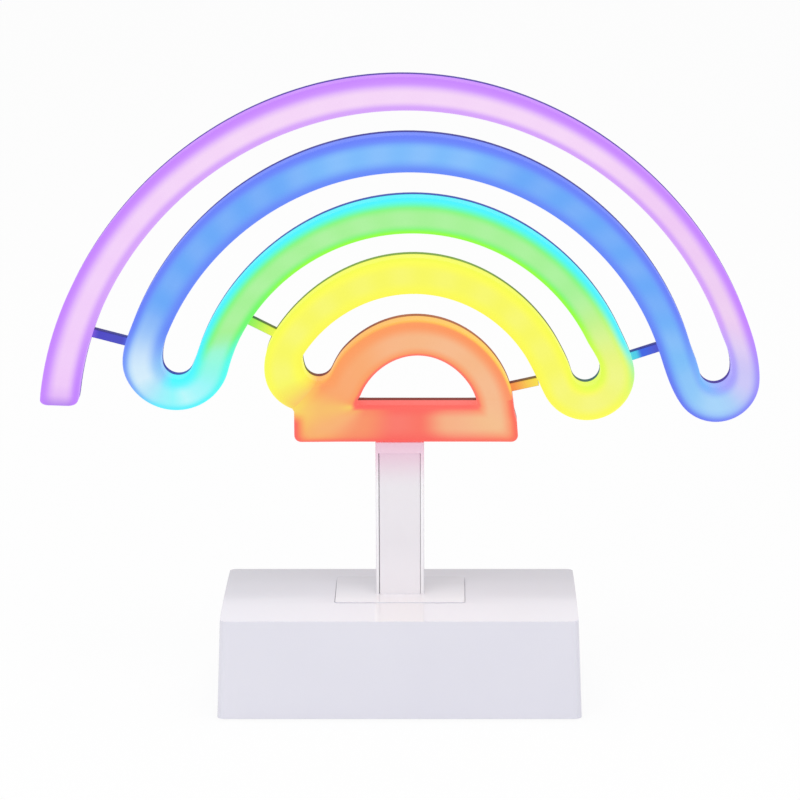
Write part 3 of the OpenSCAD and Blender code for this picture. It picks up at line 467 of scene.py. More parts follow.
def ramp(tree, value, stops):
    """A colour ramp of (place, colour) stops, smooth between them."""
    node = tree.nodes.new("ShaderNodeValToRGB")
    node.color_ramp.interpolation = "EASE"
    elements = node.color_ramp.elements
    while len(elements) > 1:
        elements.remove(elements[-1])
    elements[0].position = stops[0][0]
    elements[0].color = linear(*stops[0][1])
    for place, colour in stops[1:]:
        element = elements.new(place)
        element.color = linear(*colour)
    tree.links.new(value, node.inputs["Fac"])
    return node.outputs["Color"]


def skin_group():
    """Fine moulded skin: a faint height and a roughness that wanders a little."""
    group, entry, leave = new_group(
        "moulded skin",
        [("Vector", "NodeSocketVector", None), ("Grain Scale", "NodeSocketFloat", 900.0),
         ("Cloud Scale", "NodeSocketFloat", 18.0), ("Smoothest", "NodeSocketFloat", 0.2),
         ("Roughest", "NodeSocketFloat", 0.4)],
        [("Height", "NodeSocketFloat"), ("Roughness", "NodeSocketFloat"), ("Cloud", "NodeSocketFloat")])
    noises = []
    for label, detail in (("Grain Scale", 3), ("Cloud Scale", 4)):
        noise = group.nodes.new("ShaderNodeTexNoise")
        give(noise, {"Detail": detail})
        group.links.new(entry.outputs["Vector"], noise.inputs["Vector"])
        group.links.new(entry.outputs[label], noise.inputs["Scale"])
        noises.append(noise)
    grain, cloud = noises
    both = math_node(group, "MULTIPLY_ADD", grain.outputs["Fac"], 0.35, cloud.outputs["Fac"])
    rough = spread(group, both, 0.45, 0.95, entry.outputs["Smoothest"], entry.outputs["Roughest"])
    group.links.new(grain.outputs["Fac"], leave.inputs["Height"])
    group.links.new(rough, leave.inputs["Roughness"])
    group.links.new(cloud.outputs["Fac"], leave.inputs["Cloud"])
    return group


def across_group():
    """Colour across a lit band: one rim, the middle and the other rim."""
    group, entry, leave = new_group(
        "across the band",
        [("Across", "NodeSocketFloat", 0.5), ("Rim Ends", "NodeSocketFloat", 0.3),
         ("Rim Starts", "NodeSocketFloat", 0.78), ("First Rim", "NodeSocketColor", None),
         ("Middle", "NodeSocketColor", None), ("Second Rim", "NodeSocketColor", None),
         ("Body", "NodeSocketColor", None)],
        [("Color", "NodeSocketColor"), ("Core", "NodeSocketFloat")])
    across = entry.outputs["Across"]
    first_core = spread(group, across, 0.10, 0.44, 0, 1, smooth=True)
    second_core = spread(group, across, 0.66, 0.94, 1, 0, smooth=True)
    core = math_node(group, "MULTIPLY", first_core, second_core)
    first_rim = spread(group, across, 0.0, entry.outputs["Rim Ends"], 1, 0, smooth=True)
    second_rim = spread(group, across, entry.outputs["Rim Starts"], 0.96, 0, 1, smooth=True)
    lit = colour_mix(group, core, entry.outputs["Body"], entry.outputs["Middle"])
    lit = colour_mix(group, first_rim, lit, entry.outputs["First Rim"])
    lit = colour_mix(group, second_rim, lit, entry.outputs["Second Rim"])
    group.links.new(lit, leave.inputs["Color"])
    group.links.new(core, leave.inputs["Core"])
    return group


SKIN = skin_group()
ACROSS = across_group()


COAT_ROUGH = 0.08
SKIN_DEPTH = 0.00002
CLOUD_SCALE = 18
SMOOTH_GRAIN = 900


def new_material(name):
    material = bpy.data.materials.new(name)
    material.use_nodes = True
    tree = material.node_tree
    shader = tree.nodes["Principled BSDF"]
    return material, tree, shader


def add_skin(tree, shader, grain_scale, cloud_scale, smoothest, roughest, bump, depth=SKIN_DEPTH):
    """Lays the moulded skin on a shader, in Object coordinates; returns its cloud and all coordinates."""
    place = tree.nodes.new("ShaderNodeTexCoord")
    skin = tree.nodes.new("ShaderNodeGroup")
    skin.node_tree = SKIN
    tree.links.new(place.outputs["Object"], skin.inputs["Vector"])
    give(skin, {"Grain Scale": grain_scale, "Cloud Scale": cloud_scale, "Smoothest": smoothest,
                "Roughest": roughest})
    tree.links.new(skin.outputs["Roughness"], shader.inputs["Roughness"])
    raised = tree.nodes.new("ShaderNodeBump")
    give(raised, {"Strength": bump, "Distance": depth})
    tree.links.new(skin.outputs["Height"], raised.inputs["Height"])
    tree.links.new(raised.outputs["Normal"], shader.inputs["Normal"])
    return skin.outputs["Cloud"], place.outputs


def clouded(tree, cloud, colour, other, high=0.7):
    """A colour that wanders towards another with the cloud."""
    return colour_mix(tree, spread(tree, cloud, 0.35, high, 0, 1), linear(*colour), linear(*other))


def tinted(name, colour, other, smoothest, roughest, grain_scale=SMOOTH_GRAIN, bump=0.15, depth=SKIN_DEPTH,
           metallic=0.0, coat=0.0):
    """A plain finish: a colour that wanders a little towards another, with the moulded skin."""
    material, tree, shader = new_material(name)
    cloud, _ = add_skin(tree, shader, grain_scale, CLOUD_SCALE, smoothest, roughest, bump, depth)
    tree.links.new(clouded(tree, cloud, colour, other), shader.inputs["Base Color"])
    give(shader, {"Metallic": metallic, "Coat Weight": coat, "Coat Roughness": COAT_ROUGH})
    return material


EMISSION = 0.80
OWN_COLOUR = 0.22
SPOT_WHITE = linear(255, 250, 255)
BLACK = (0, 0, 0, 1)


def lit_material(name, far_total, stops, rims, spot_gap, spot_lift):
    """Milky plastic lit from inside, coloured along and across the band, with a faint spot over each chip."""
    material, tree, shader = new_material(name)
    chart = band_chart(tree)
    share = math_node(tree, "DIVIDE", chart["X"], far_total)
    band = tree.nodes.new("ShaderNodeGroup")
    band.node_tree = ACROSS
    edge_at, before, after, second = rims
    rim_ends = spread(tree, share, edge_at - 0.01, edge_at + 0.01, before, after)
    tree.links.new(rim_ends, band.inputs["Rim Ends"])
    give(band, {"Rim Starts": second})
    tree.links.new(chart["Y"], band.inputs["Across"])
    for label, colours in stops.items():
        tree.links.new(ramp(tree, share, colours), band.inputs[label])
    wave = math_node(tree, "SINE", math_node(tree, "MULTIPLY", chart["X"], 2 * math.pi / spot_gap))
    cloud, _ = add_skin(tree, shader, 700, 40, 0.42, 0.55, 0.08)
    spots = spread(tree, wave, -1, 1, 0, spot_lift)
    spots = math_node(tree, "MULTIPLY", spots, band.outputs["Core"])
    spots = math_node(tree, "MULTIPLY", spots, spread(tree, cloud, 0.3, 0.7, 0.6, 1.2))
    lit = colour_mix(tree, spots, band.outputs["Color"], SPOT_WHITE)
    tree.links.new(lit, shader.inputs["Emission Color"])
    tree.links.new(colour_mix(tree, 1 - OWN_COLOUR, lit, BLACK), shader.inputs["Base Color"])
    give(shader, {"Emission Strength": EMISSION, "Specular IOR Level": 0.12})
    return material


# Shares of the tube's length at which its stretches begin, and the end of the last
tube_total = tube_far[-1]
STRETCH_AT = [tube_far[index] / tube_total for index in starts] + [1.0]


def along_tube(*rows):
    """Colour stops, from rows of a stretch, the share of the way through it and a colour."""
    return [(part_way(STRETCH_AT[stretch], STRETCH_AT[stretch + 1], share), colour)
            for stretch, share, colour in rows]


# Colours of the tube, from the left foot to the bar
PURPLE_RIM = (196, 132, 255)
PURPLE_BODY = (208, 152, 252)
PURPLE_MIDDLE = (243, 212, 246)
PURPLE_LOWER = (220, 170, 249)
BLUE_RIM = (106, 134, 248)
BLUE_BODY = (108, 152, 249)
BLUE_MIDDLE = (106, 168, 247)
BLUE_TOP = (124, 186, 250)
FOOT_END = (174, 120, 238)
CYAN = (80, 248, 255)
GREEN_RIM = (150, 255, 70)
GREEN_BODY = (112, 248, 112)
GREEN_MIDDLE = (166, 240, 150)
YELLOW = (251, 250, 88)
YELLOW_MIDDLE = (246, 246, 98)
JOINT_SLOT_SIDE = (250, 180, 98)
JOINT_MIDDLE = (248, 198, 98)
JOINT_OUTSIDE = (247, 216, 98)
NEAR_JOINT = 0.34

lit_tube = lit_material("lit tube", tube_total, {
    "First Rim": along_tube(
        (PURPLE_ARC, 0, PURPLE_RIM), (PURPLE_ARC, 0.93, PURPLE_RIM), (RIGHT, 0, (160, 142, 252)),
        (RIGHT, 0.18, (122, 124, 246)), (RIGHT, 0.45, (98, 112, 242)), (BLUE_ARC, 0.06, BLUE_RIM),
        (BLUE_ARC, 0.92, BLUE_RIM), (LEFT, 0.14, (150, 205, 248)), (LEFT, 0.34, CYAN),
        (GREEN_ARC, 0.93, CYAN), (LOW, 0, (196, 252, 130)), (LOW, 0.15, YELLOW),
        (BULGE, NEAR_JOINT, YELLOW), (BULGE, 1, JOINT_SLOT_SIDE)),
    "Body": along_tube(
        (PURPLE_ARC, 0, FOOT_END), (PURPLE_ARC, 0.0045, PURPLE_BODY), (PURPLE_ARC, 0.93, PURPLE_BODY),
        (RIGHT, 0.05, (172, 172, 249)), (RIGHT, 0.32, (146, 186, 250)), (RIGHT, 0.9, (110, 160, 249)),
        (BLUE_ARC, 0.06, BLUE_BODY), (BLUE_ARC, 0.93, BLUE_BODY), (LEFT, 0.12, (170, 215, 249)),
        (LEFT, 0.28, (112, 240, 252)), (LEFT, 0.5, (110, 246, 253)), (LEFT, 0.8, (100, 250, 225)),
        (GREEN_ARC, 0, GREEN_BODY), (GREEN_ARC, 0.8, GREEN_BODY), (LOW, 0, (234, 250, 98)),
        (LOW, 0.3, YELLOW), (BULGE, NEAR_JOINT, YELLOW), (BULGE, 1, JOINT_MIDDLE)),
    "Middle": along_tube(
        (PURPLE_ARC, 0, FOOT_END), (PURPLE_ARC, 0.0036, (200, 144, 245)),
        (PURPLE_ARC, 0.009, (226, 182, 247)), (PURPLE_ARC, 0.027, (239, 202, 248)),
        (PURPLE_ARC, 0.15, (240, 206, 248)), (PURPLE_ARC, 0.36, PURPLE_MIDDLE),
        (PURPLE_ARC, 0.7, PURPLE_MIDDLE), (PURPLE_ARC, 0.82, (238, 200, 243)),
        (PURPLE_ARC, 0.93, (236, 204, 240)), (RIGHT, 0.04, (200, 196, 246)),
        (RIGHT, 0.32, (162, 210, 248)), (RIGHT, 0.8, (126, 190, 247)), (BLUE_ARC, 0.08, BLUE_MIDDLE),
        (BLUE_ARC, 0.32, BLUE_MIDDLE), (BLUE_ARC, 0.4, BLUE_TOP), (BLUE_ARC, 0.58, BLUE_TOP),
        (BLUE_ARC, 0.68, BLUE_MIDDLE), (BLUE_ARC, 0.9, BLUE_MIDDLE), (LEFT, 0.05, (212, 236, 250)),
        (LEFT, 0.18, (172, 228, 249)), (LEFT, 0.3, (132, 246, 250)), (LEFT, 0.42, (184, 246, 249)),
        (LEFT, 0.58, (150, 246, 249)), (LEFT, 0.85, (142, 248, 220)), (GREEN_ARC, 0.02, GREEN_MIDDLE),
        (GREEN_ARC, 0.8, GREEN_MIDDLE), (LOW, 0, (238, 245, 126)), (LOW, 0.3, (244, 245, 118)),
        (YELLOW_ARC, 0, YELLOW_MIDDLE), (BULGE, NEAR_JOINT, YELLOW_MIDDLE), (BULGE, 1, JOINT_MIDDLE)),
    "Second Rim": along_tube(
        (PURPLE_ARC, 0, PURPLE_RIM), (PURPLE_ARC, 0.15, PURPLE_LOWER), (PURPLE_ARC, 0.93, PURPLE_LOWER),
        (RIGHT, 0.1, (170, 165, 251)), (RIGHT, 0.5, (126, 188, 250)), (BLUE_ARC, 0.06, BLUE_RIM),
        (BLUE_ARC, 0.93, BLUE_RIM), (LEFT, 0.06, (122, 160, 248)), (LEFT, 0.27, (90, 238, 255)),
        (LEFT, 0.75, (84, 253, 245)), (GREEN_ARC, 0.04, GREEN_BODY), (GREEN_ARC, 0.2, GREEN_RIM),
        (GREEN_ARC, 0.84, GREEN_RIM), (LOW, 0, (225, 252, 90)), (YELLOW_ARC, 0, YELLOW),
        (BULGE, NEAR_JOINT, YELLOW), (BULGE, 1, JOINT_OUTSIDE))},
    rims=(0.5, 0.28, 0.28, 0.78), spot_gap=16.5, spot_lift=0.05)

bar_far = lengths_along(bar_rails)
bar_total = bar_far[-1] + ((bar_rails[-1][0] + bar_rails[-1][1]) / 2
                           - (bar_rails[0][0] + bar_rails[0][1]) / 2).length


def bar_at(index):
    return bar_far[index] / bar_total


ARC_DONE = bar_at(len(arc_rails) - 1)
JOINT_STARTS = bar_at(JOINT_FROM - 1)
JOINT_DONE = bar_at(JOINT_TO)
EDGE_AT = bar_at(JOINT_TO + 2)
LEFT_DONE = bar_at(JOINT_TO + 9)
FLOOR_FROM = bar_at(JOINT_TO + 17)
FLOOR_TO = bar_at(JOINT_TO + 37)
RIGHT_AT = bar_at(JOINT_TO + 46)
ORANGE_RIM = (255, 208, 92)
ORANGE = (250, 152, 98)
PEACH = (245, 184, 136)
RED_RIM = (252, 98, 94)
RED = (250, 108, 98)
RED_MIDDLE = (249, 116, 100)
lit_bar = lit_material("lit bar", bar_total, {
    "First Rim": [
        (0.0, (253, 130, 90)), (bar_at(3), ORANGE_RIM), (JOINT_STARTS, JOINT_SLOT_SIDE),
        (JOINT_DONE, JOINT_OUTSIDE), (EDGE_AT, (251, 100, 92)), (LEFT_DONE, RED_RIM), (1.0, (252, 104, 90))],
    "Body": [
        (0.0, (250, 150, 106)), (ARC_DONE * 0.3, ORANGE), (JOINT_STARTS, (250, 158, 98)),
        (JOINT_DONE, (247, 204, 104)), (LEFT_DONE, (247, 174, 106)), (FLOOR_FROM, (248, 138, 102)),
        (part_way(FLOOR_FROM, FLOOR_TO, 0.3), RED), (part_way(FLOOR_FROM, FLOOR_TO, 0.55), RED),
        (part_way(FLOOR_FROM, FLOOR_TO, 0.85), (249, 138, 112)), (1.0, (250, 150, 108))],
    "Middle": [
        (0.0, (244, 184, 138)), (ARC_DONE * 0.5, PEACH), (JOINT_STARTS, (248, 166, 106)),
        (JOINT_DONE, (246, 190, 108)), (LEFT_DONE, (246, 176, 110)), (FLOOR_FROM, (247, 148, 106)),
        (part_way(FLOOR_FROM, FLOOR_TO, 0.3), RED_MIDDLE), (part_way(FLOOR_FROM, FLOOR_TO, 0.5), RED_MIDDLE),
        (part_way(FLOOR_FROM, FLOOR_TO, 0.78), (244, 176, 132)), (RIGHT_AT, (243, 190, 142)),
        (1.0, (244, 184, 138))],
    "Second Rim": [
        (0.0, (252, 122, 106)), (0.3, (255, 118, 105)), (FLOOR_FROM, (251, 108, 100)),
        (FLOOR_TO, (251, 112, 102)), (1.0, (252, 122, 106))]},
    rims=(JOINT_STARTS, 0.07, 0.22, 0.86), spot_gap=24, spot_lift=0.03)


def cover_material(name, total, edge_stops, front_stops, glow):
    """Thin plastic of the rear cover with the band's light painted on: a painted glow in the band's colour
    where it faces forward, a fainter one on its back, and painted shade in darker band colours on its edges.
    """
    material, tree, shader = new_material(name)
    _, places = add_skin(tree, shader, 800, 30, 0.45, 0.6, 0.1)
    share = math_node(tree, "DIVIDE", band_chart(tree)["X"], total)
    # Painted light: faces that look forward glow in the band's colour, backs glow faintly, the rest keeps the
    # darker painted shade of the edges
    facing = parts_of(tree, places["Normal"])["Y"]
    front = spread(tree, facing, -0.3, -0.8, 0, 1)
    rear = spread(tree, facing, 0.5, 0.95, 0, 0.35)
    seen = colour_mix(tree, math_node(tree, "MAXIMUM", front, rear), ramp(tree, share, edge_stops),
                      ramp(tree, share, front_stops))
    tree.links.new(colour_mix(tree, 0.6, seen, BLACK), shader.inputs["Base Color"])
    tree.links.new(seen, shader.inputs["Emission Color"])
    give(shader, {"Emission Strength": glow, "Specular IOR Level": 0.1})
    return material


# Edge colours of the covers are painted shade in each band's colour; the front colours and the glow strength
# paint the band's light on the covers
INDIGO_EDGE = (72, 44, 166)
BLUE_EDGE = (44, 42, 168)
GREEN_EDGE = (26, 76, 186)
OLIVE_EDGE = (104, 120, 34)
LIME_EDGE = (140, 178, 52)
BROWN_EDGE = (138, 48, 32)
COPPER_EDGE = (190, 106, 58)
COVER_PAINTED_GLOW = 0.5
cover_arches = cover_material("arch cover", tube_total, along_tube(
    (PURPLE_ARC, 0, INDIGO_EDGE), (RIGHT, 0, INDIGO_EDGE), (BLUE_ARC, 0, (54, 50, 158)),
    (LEFT, 0, BLUE_EDGE), (LEFT, 0.7, (36, 100, 190)), (GREEN_ARC, 0, GREEN_EDGE),
    (GREEN_ARC, 0.7, (40, 84, 190)), (LOW, 0, (40, 104, 120)), (YELLOW_ARC, 0, OLIVE_EDGE),
    (YELLOW_ARC, 0.35, LIME_EDGE), (YELLOW_ARC, 0.65, LIME_EDGE), (BULGE, 0, OLIVE_EDGE),
    (BULGE, 1, BROWN_EDGE)), along_tube(
    (PURPLE_ARC, 0, (150, 100, 230)), (RIGHT, 0, (130, 92, 228)), (BLUE_ARC, 0, (78, 90, 232)),
    (LEFT, 0, (78, 130, 240)), (GREEN_ARC, 0, (90, 220, 210)), (GREEN_ARC, 0.1, (110, 232, 110)),
    (LOW, 0, (130, 235, 100)), (YELLOW_ARC, 0, (235, 240, 90)), (BULGE, 1, (240, 225, 90))), COVER_PAINTED_GLOW)
cover_bar = cover_material("bar cover", bar_total, [
    (0.0, BROWN_EDGE), (ARC_DONE * 0.3, COPPER_EDGE), (ARC_DONE * 0.65, COPPER_EDGE),
    (ARC_DONE, BROWN_EDGE), (1.0, BROWN_EDGE)], [
    (0.0, (245, 130, 90)), (ARC_DONE, (245, 150, 90)), (FLOOR_FROM, (240, 100, 90)),
    (1.0, (240, 110, 90))], COVER_PAINTED_GLOW)
# A quarter of the ramp for each strut, in the order of their list, from its first end to its second
# The struts carry the same painted band light: darker painted shade in the first ramp, painted glow in the
# band's colours in the second
strut_painted_glow = cover_material("strut plastic", 1, [
    (0.0, (60, 46, 130)), (0.249, (46, 56, 150)),
    (0.251, (44, 110, 60)), (0.499, (110, 124, 40)),
    (0.501, (30, 96, 150)), (0.6, (34, 44, 150)), (0.749, (52, 56, 150)),
    (0.751, (120, 50, 34)), (1.0, (126, 96, 36))], [
    (0.0, (134, 100, 226)), (0.06, (84, 80, 200)), (0.2, (84, 86, 196)), (0.249, (96, 112, 228)),
    (0.251, (150, 245, 100)), (0.499, (240, 248, 90)),
    (0.501, (100, 235, 240)), (0.56, (88, 212, 240)), (0.61, (72, 108, 232)), (0.749, (92, 96, 206)),
    (0.751, (250, 150, 85)), (1.0, (250, 225, 90))], 0.6)


column_low, column_high = box_mm("stand_column")
panel_low, panel_high = box_mm("column_panel")
column_y = (column_low[1] + column_high[1]) / 2
PLATE_TOP = box_mm("foot_plate")[1][2]
# Painted light on the stand: lighter over its lowest FOOT_LIT millimetres, and the head's pink glow painted
# between GLOW_FROM and GLOW_TO
FOOT_LIT = 22
GLOW_FROM, GLOW_TO = HEAD_Z - 20, HEAD_Z - 1
WHITE = (229, 228, 238)
WHITE_OTHER = (226, 225, 236)
# Painted light: a lighter patch on the tops in front of the column
PAINTED_LIGHT_AHEAD = (253, 250, 253)
LIGHT_PATCH_SOFT = 0.6
LIGHT_PATCH_SHARE = 0.75


def topped_white(name, colour, other, foot, painted_head_glow, smoothest, roughest):
    """The stand's white plastic, with painted light from the base brightening its foot and a painted pink
    glow of the head on its top.
    """
    material, tree, shader = new_material(name)
    cloud, places = add_skin(tree, shader, SMOOTH_GRAIN, CLOUD_SCALE, smoothest, roughest, 0.05)
    height = parts_of(tree, places["Object"])["Z"]
    painted_foot_light = spread(tree, height, (PLATE_TOP + FOOT_LIT) * MM, PLATE_TOP * MM, 0, 1)
    plain = colour_mix(tree, painted_foot_light, clouded(tree, cloud, colour, other), linear(*foot))
    glow = spread(tree, height, GLOW_FROM * MM, GLOW_TO * MM, 0, 1, smooth=True)
    tree.links.new(colour_mix(tree, glow, plain, linear(*painted_head_glow)), shader.inputs["Base Color"])
    give(shader, {"Coat Weight": 0.2, "Coat Roughness": COAT_ROUGH})
    return material


def base_white(name, rear, front, rear_y, front_y):
    """The base's white plastic, with painted light on its top faces: lighter towards the front, and a painted
    patch of light in front of the column, where the column sends light ahead.
    """
    material, tree, shader = new_material(name)
    cloud, places = add_skin(tree, shader, SMOOTH_GRAIN, CLOUD_SCALE, 0.13, 0.22, 0.05)
    at = parts_of(tree, places["Object"])
    # Only faces that look up get the painted light and shade
    top = spread(tree, parts_of(tree, places["Normal"])["Z"], 0.6, 0.9, 0, 1)
    ahead = spread(tree, at["Y"], rear_y * MM, front_y * MM, 0, 1)
    upper = colour_mix(tree, ahead, linear(*rear), linear(*front))
    aside = math_node(tree, "ABSOLUTE", at["X"])
    inside = spread(tree, aside, (column_high[0] + 0.4) * MM, (column_high[0] - LIGHT_PATCH_SOFT) * MM, 0, 1)
    before = spread(tree, at["Y"], (column_low[1] + 0.2) * MM, (column_low[1] - LIGHT_PATCH_SOFT) * MM, 0,
                    LIGHT_PATCH_SHARE)
    upper = colour_mix(tree, math_node(tree, "MULTIPLY", inside, before), upper, linear(*PAINTED_LIGHT_AHEAD))
    plain = clouded(tree, cloud, WHITE, WHITE_OTHER)
    tree.links.new(colour_mix(tree, top, plain, upper), shader.inputs["Base Color"])
    give(shader, {"Coat Weight": 0.3, "Coat Roughness": COAT_ROUGH})
    return material


# Painted light and shade on the tops: the housing lighter towards the front; the plate in painted shade
# behind the column and lighter in front of it
housing_white = base_white("base housing white", (229, 226, 235), (232, 229, 238), 20, -30)
plate_white = base_white("foot plate white", (212, 209, 217), (242, 239, 245), column_y + 8,
                         column_y - 13)
# Column and panel: a plain colour, a lighter painted foot light and a painted pink glow of the head
column_white = topped_white("column white", (252, 250, 253), (250, 248, 252), (253, 251, 254),
                            (244, 208, 228), 0.14, 0.24)
white_gloss = tinted("glossy white moulding", WHITE, WHITE_OTHER, 0.13, 0.22, bump=0.05, coat=0.3)
panel_white = topped_white("column panel", (239, 235, 240), (237, 233, 238), (250, 246, 250),
                           (238, 202, 222), 0.18, 0.28)
underside_white = tinted("satin underside", (222, 221, 228), (215, 214, 222), 0.40, 0.58,
                         grain_scale=1400, bump=0.5)
foot_rubber = tinted("foot rubber", (178, 178, 182), (160, 160, 165), 0.6, 0.85, grain_scale=2200, bump=0.8,
                     depth=0.00005)
screw_steel = tinted("zinc plated screw", (190, 190, 196), (168, 170, 178), 0.25, 0.45, metallic=1.0)
spring_steel = tinted("bright nickel", (214, 212, 206), (192, 190, 186), 0.15, 0.32, metallic=1.0)
strip_white = tinted("strip mask", (240, 240, 234), (228, 228, 220), 0.35, 0.5)
wire_red = tinted("red insulation", (196, 30, 28), (170, 22, 22), 0.35, 0.5)
wire_black = tinted("black insulation", (26, 26, 27), (38, 38, 40), 0.35, 0.55)
chip_black = tinted("moulded epoxy", (24, 24, 26), (38, 38, 40), 0.45, 0.7, grain_scale=2500, bump=0.6)
capacitor_sleeve = tinted("shrunk sleeve", (30, 36, 70), (24, 28, 58), 0.2, 0.35, coat=0.3)
header_ivory = tinted("connector plastic", (232, 228, 208), (220, 214, 190), 0.4, 0.55)
inlet_steel = tinted("drawn steel shell", (206, 206, 212), (184, 186, 192), 0.12, 0.3, metallic=1.0)
switch_black = tinted("switch case", (30, 30, 32), (42, 42, 45), 0.45, 0.6)
backing = tinted("head plug plastic", (232, 230, 236), (224, 222, 230), 0.3, 0.42)


def board_material():
    """Green solder mask with fine copper tracks under it."""
    material, tree, shader = new_material("solder mask")
    _, places = add_skin(tree, shader, 1600, 60, 0.2, 0.35, 0.2)
    tracks = tree.nodes.new("ShaderNodeTexBrick")
    give(tracks, {"Scale": 110, "Mortar Size": 0.09, "Color1": linear(22, 92, 54),
                  "Color2": linear(18, 84, 48), "Mortar": linear(48, 124, 70)})
    tree.links.new(places["Object"], tracks.inputs["Vector"])
    tree.links.new(tracks.outputs["Color"], shader.inputs["Base Color"])
    give(shader, {"Coat Weight": 0.4})
    return material


SLEEVE_GREEN = (44, 96, 74)


def cell_material():
    """Plain two-tone sleeve of a cell with bare steel at its ends."""
    material, tree, shader = new_material("cell sleeve")
    _, places = add_skin(tree, shader, 1000, 30, 0.18, 0.3, 0.05)
    chart = parts_of(tree, places["UV"])
    sleeve = ramp(tree, chart["X"], [(0.0, SLEEVE_GREEN), (0.70, SLEEVE_GREEN), (0.74, (196, 160, 84)),
                                     (1.0, (200, 166, 92))])
    bare = spread(tree, chart["Y"], 0.45, 0.55, 0, 1)
    tree.links.new(colour_mix(tree, bare, sleeve, linear(200, 200, 204)), shader.inputs["Base Color"])
    tree.links.new(bare, shader.inputs["Metallic"])
    return material


def chip_material(name, colour):
    """A light chip: white case round a glowing face."""
    material, tree, shader = new_material(name)
    cloud, _ = add_skin(tree, shader, 1500, 120, 0.3, 0.45, 0.1)
    shade = clouded(tree, cloud, colour, (250, 250, 250), high=0.65)
    tree.links.new(shade, shader.inputs["Base Color"])
    tree.links.new(shade, shader.inputs["Emission Color"])
    give(shader, {"Emission Strength": 1.0})
    return material


board_green = board_material()
cell_wrap = cell_material()


# Lit moulding of the head

def drawn_in(pair, inset):
    """A pair of points moved towards each other."""
    across = (pair[1] - pair[0]).normalized()
    return (pair[0] + across * inset, pair[1] - across * inset)


FOOT_STEPS = 6


def foot_steps():
    """Pairs that round off the end of the leg, each with how far it is drawn in and its place up the leg."""
    start, follower = tube_rails[0], tube_rails[1]
    run = ((follower[0] + follower[1]) - (start[0] + start[1])).normalized()
    steps = []
    for k in range(FOOT_STEPS):
        turn = math.pi / 2 * k / FOOT_STEPS
        up = FOOT_R * (1 - math.cos(turn))
        inset = FOOT_R * (1 - math.sin(turn))
        steps.append((drawn_in((start[0] + run * up, start[1] + run * up), inset), inset, up))
    return steps


ABOVE_FOOT = next(k for k in range(len(tube_rails)) if tube_far[k] > FOOT_R)


def lit_stretch(name, start, end, node, foot=False):
    """One colour's stretch of the lit tube; the first one closes round the end of the leg."""
    mesh = bmesh.new()
    rings, far_on = [], []
    if foot:
        for pair, inset, up in foot_steps():
            rings.append(rounded_across(pair, EDGE_R - inset, EDGE_R - inset, front=inset))
            far_on.append(up)
        start = ABOVE_FOOT
    rings += [rounded_across(pair, EDGE_R, EDGE_R) for pair in tube_rails[start:end + 1]]
    far_on += tube_far[start:end + 1]
    lines = band_skin(mesh, rings, far_on)
    if foot:
        mesh.faces.new(lines[0])
    lay_to_uv(mesh)
    thicken(mesh)
    finish_mesh(mesh, name, lit_tube, "lamp", [node])


lit_stretch("lit_tube_purple", 0, PURPLE_END, "shell_purple", foot=True)
lit_stretch("lit_tube_blue", PURPLE_END, BLUE_END, "shell_blue")
lit_stretch("lit_tube_green", BLUE_END, GREEN_END, "shell_green")
lit_stretch("lit_tube_yellow", GREEN_END, len(tube_rails) - 1, "shell_yellow")


WINDOW_EDGE_R = 3.2
JOINT_EDGE_R = 0.05


def lit_window():
    """The orange arc and the bar round the half-round window; its edge is sharp where the tube joins it."""
    mesh = bmesh.new()
    rings = []
    for k, pair in enumerate(bar_rails):
        at_joint = JOINT_FROM - 1 < k < JOINT_TO
        rings.append(rounded_across(pair, JOINT_EDGE_R if at_joint else EDGE_R, WINDOW_EDGE_R))
    rings.append(rings[0])
    band_skin(mesh, rings, bar_far + [bar_total])
    lay_to_uv(mesh)
    merged(mesh)
    thicken(mesh)
    finish_mesh(mesh, "lit_bar_and_window", lit_bar, "lamp", ["shell_orange"])


lit_window()


# Rear cover of the head

PART_LINE = (0.15, 0.02, 0.2)
COVER_EDGE_R = 1


def cover_across(pair):
    """Places across a band's cover: a fine parting line, up a side, over the back, down the other side."""
    across = pair[1] - pair[0]
    width = across.length
    across = across / width
    inset, gap, full = PART_LINE
    half = [(inset, SHELL_DEEP + gap), (0, SHELL_DEEP + full), (0, (SHELL_DEEP + COVER_BACK) / 2)]
    half += [(COVER_EDGE_R * (1 - math.cos(turn)), COVER_BACK - COVER_EDGE_R * (1 - math.sin(turn)))
             for turn in (math.pi / 6 * k for k in range(4))]
    places = half + [(width / 2, COVER_BACK)] + [(width - side, back) for side, back in reversed(half)]
    return [(in_head(pair[0] + across * side, back), side / width) for side, back in places]


def loose_parts(node):
    """Boxes of the separate solids of a node, each as its lowest and its highest corner."""
    mesh = node_copy(node)
    left = set(mesh.verts)
    boxes = []
    while left:
        found, waiting = [], [left.pop()]
        while waiting:
            vert = waiting.pop()
            found.append(vert.co.copy())
            near = [edge.other_vert(vert) for edge in vert.link_edges]
            fresh = [other for other in near if other in left]
            left.difference_update(fresh)
            waiting.extend(fresh)
        boxes.append((Vector(min(co[k] for co in found) for k in range(3)),
                      Vector(max(co[k] for co in found) for k in range(3))))
    mesh.free()
    return boxes


ROD_SIDES = 32


def add_rod(mesh, place, radius, near_y, far_y):
    """A round rod that runs back through a place of the head."""
    made = bmesh.ops.create_cone(mesh, cap_ends=True, cap_tris=False, segments=ROD_SIDES, radius1=radius,
                                 radius2=radius, depth=far_y - near_y)["verts"]
    bmesh.ops.rotate(mesh, verts=made, cent=(0, 0, 0), matrix=Matrix.Rotation(math.pi / 2, 3, "X"))
    bmesh.ops.translate(mesh, verts=made, vec=(place[0], (near_y + far_y) / 2, place[2]))


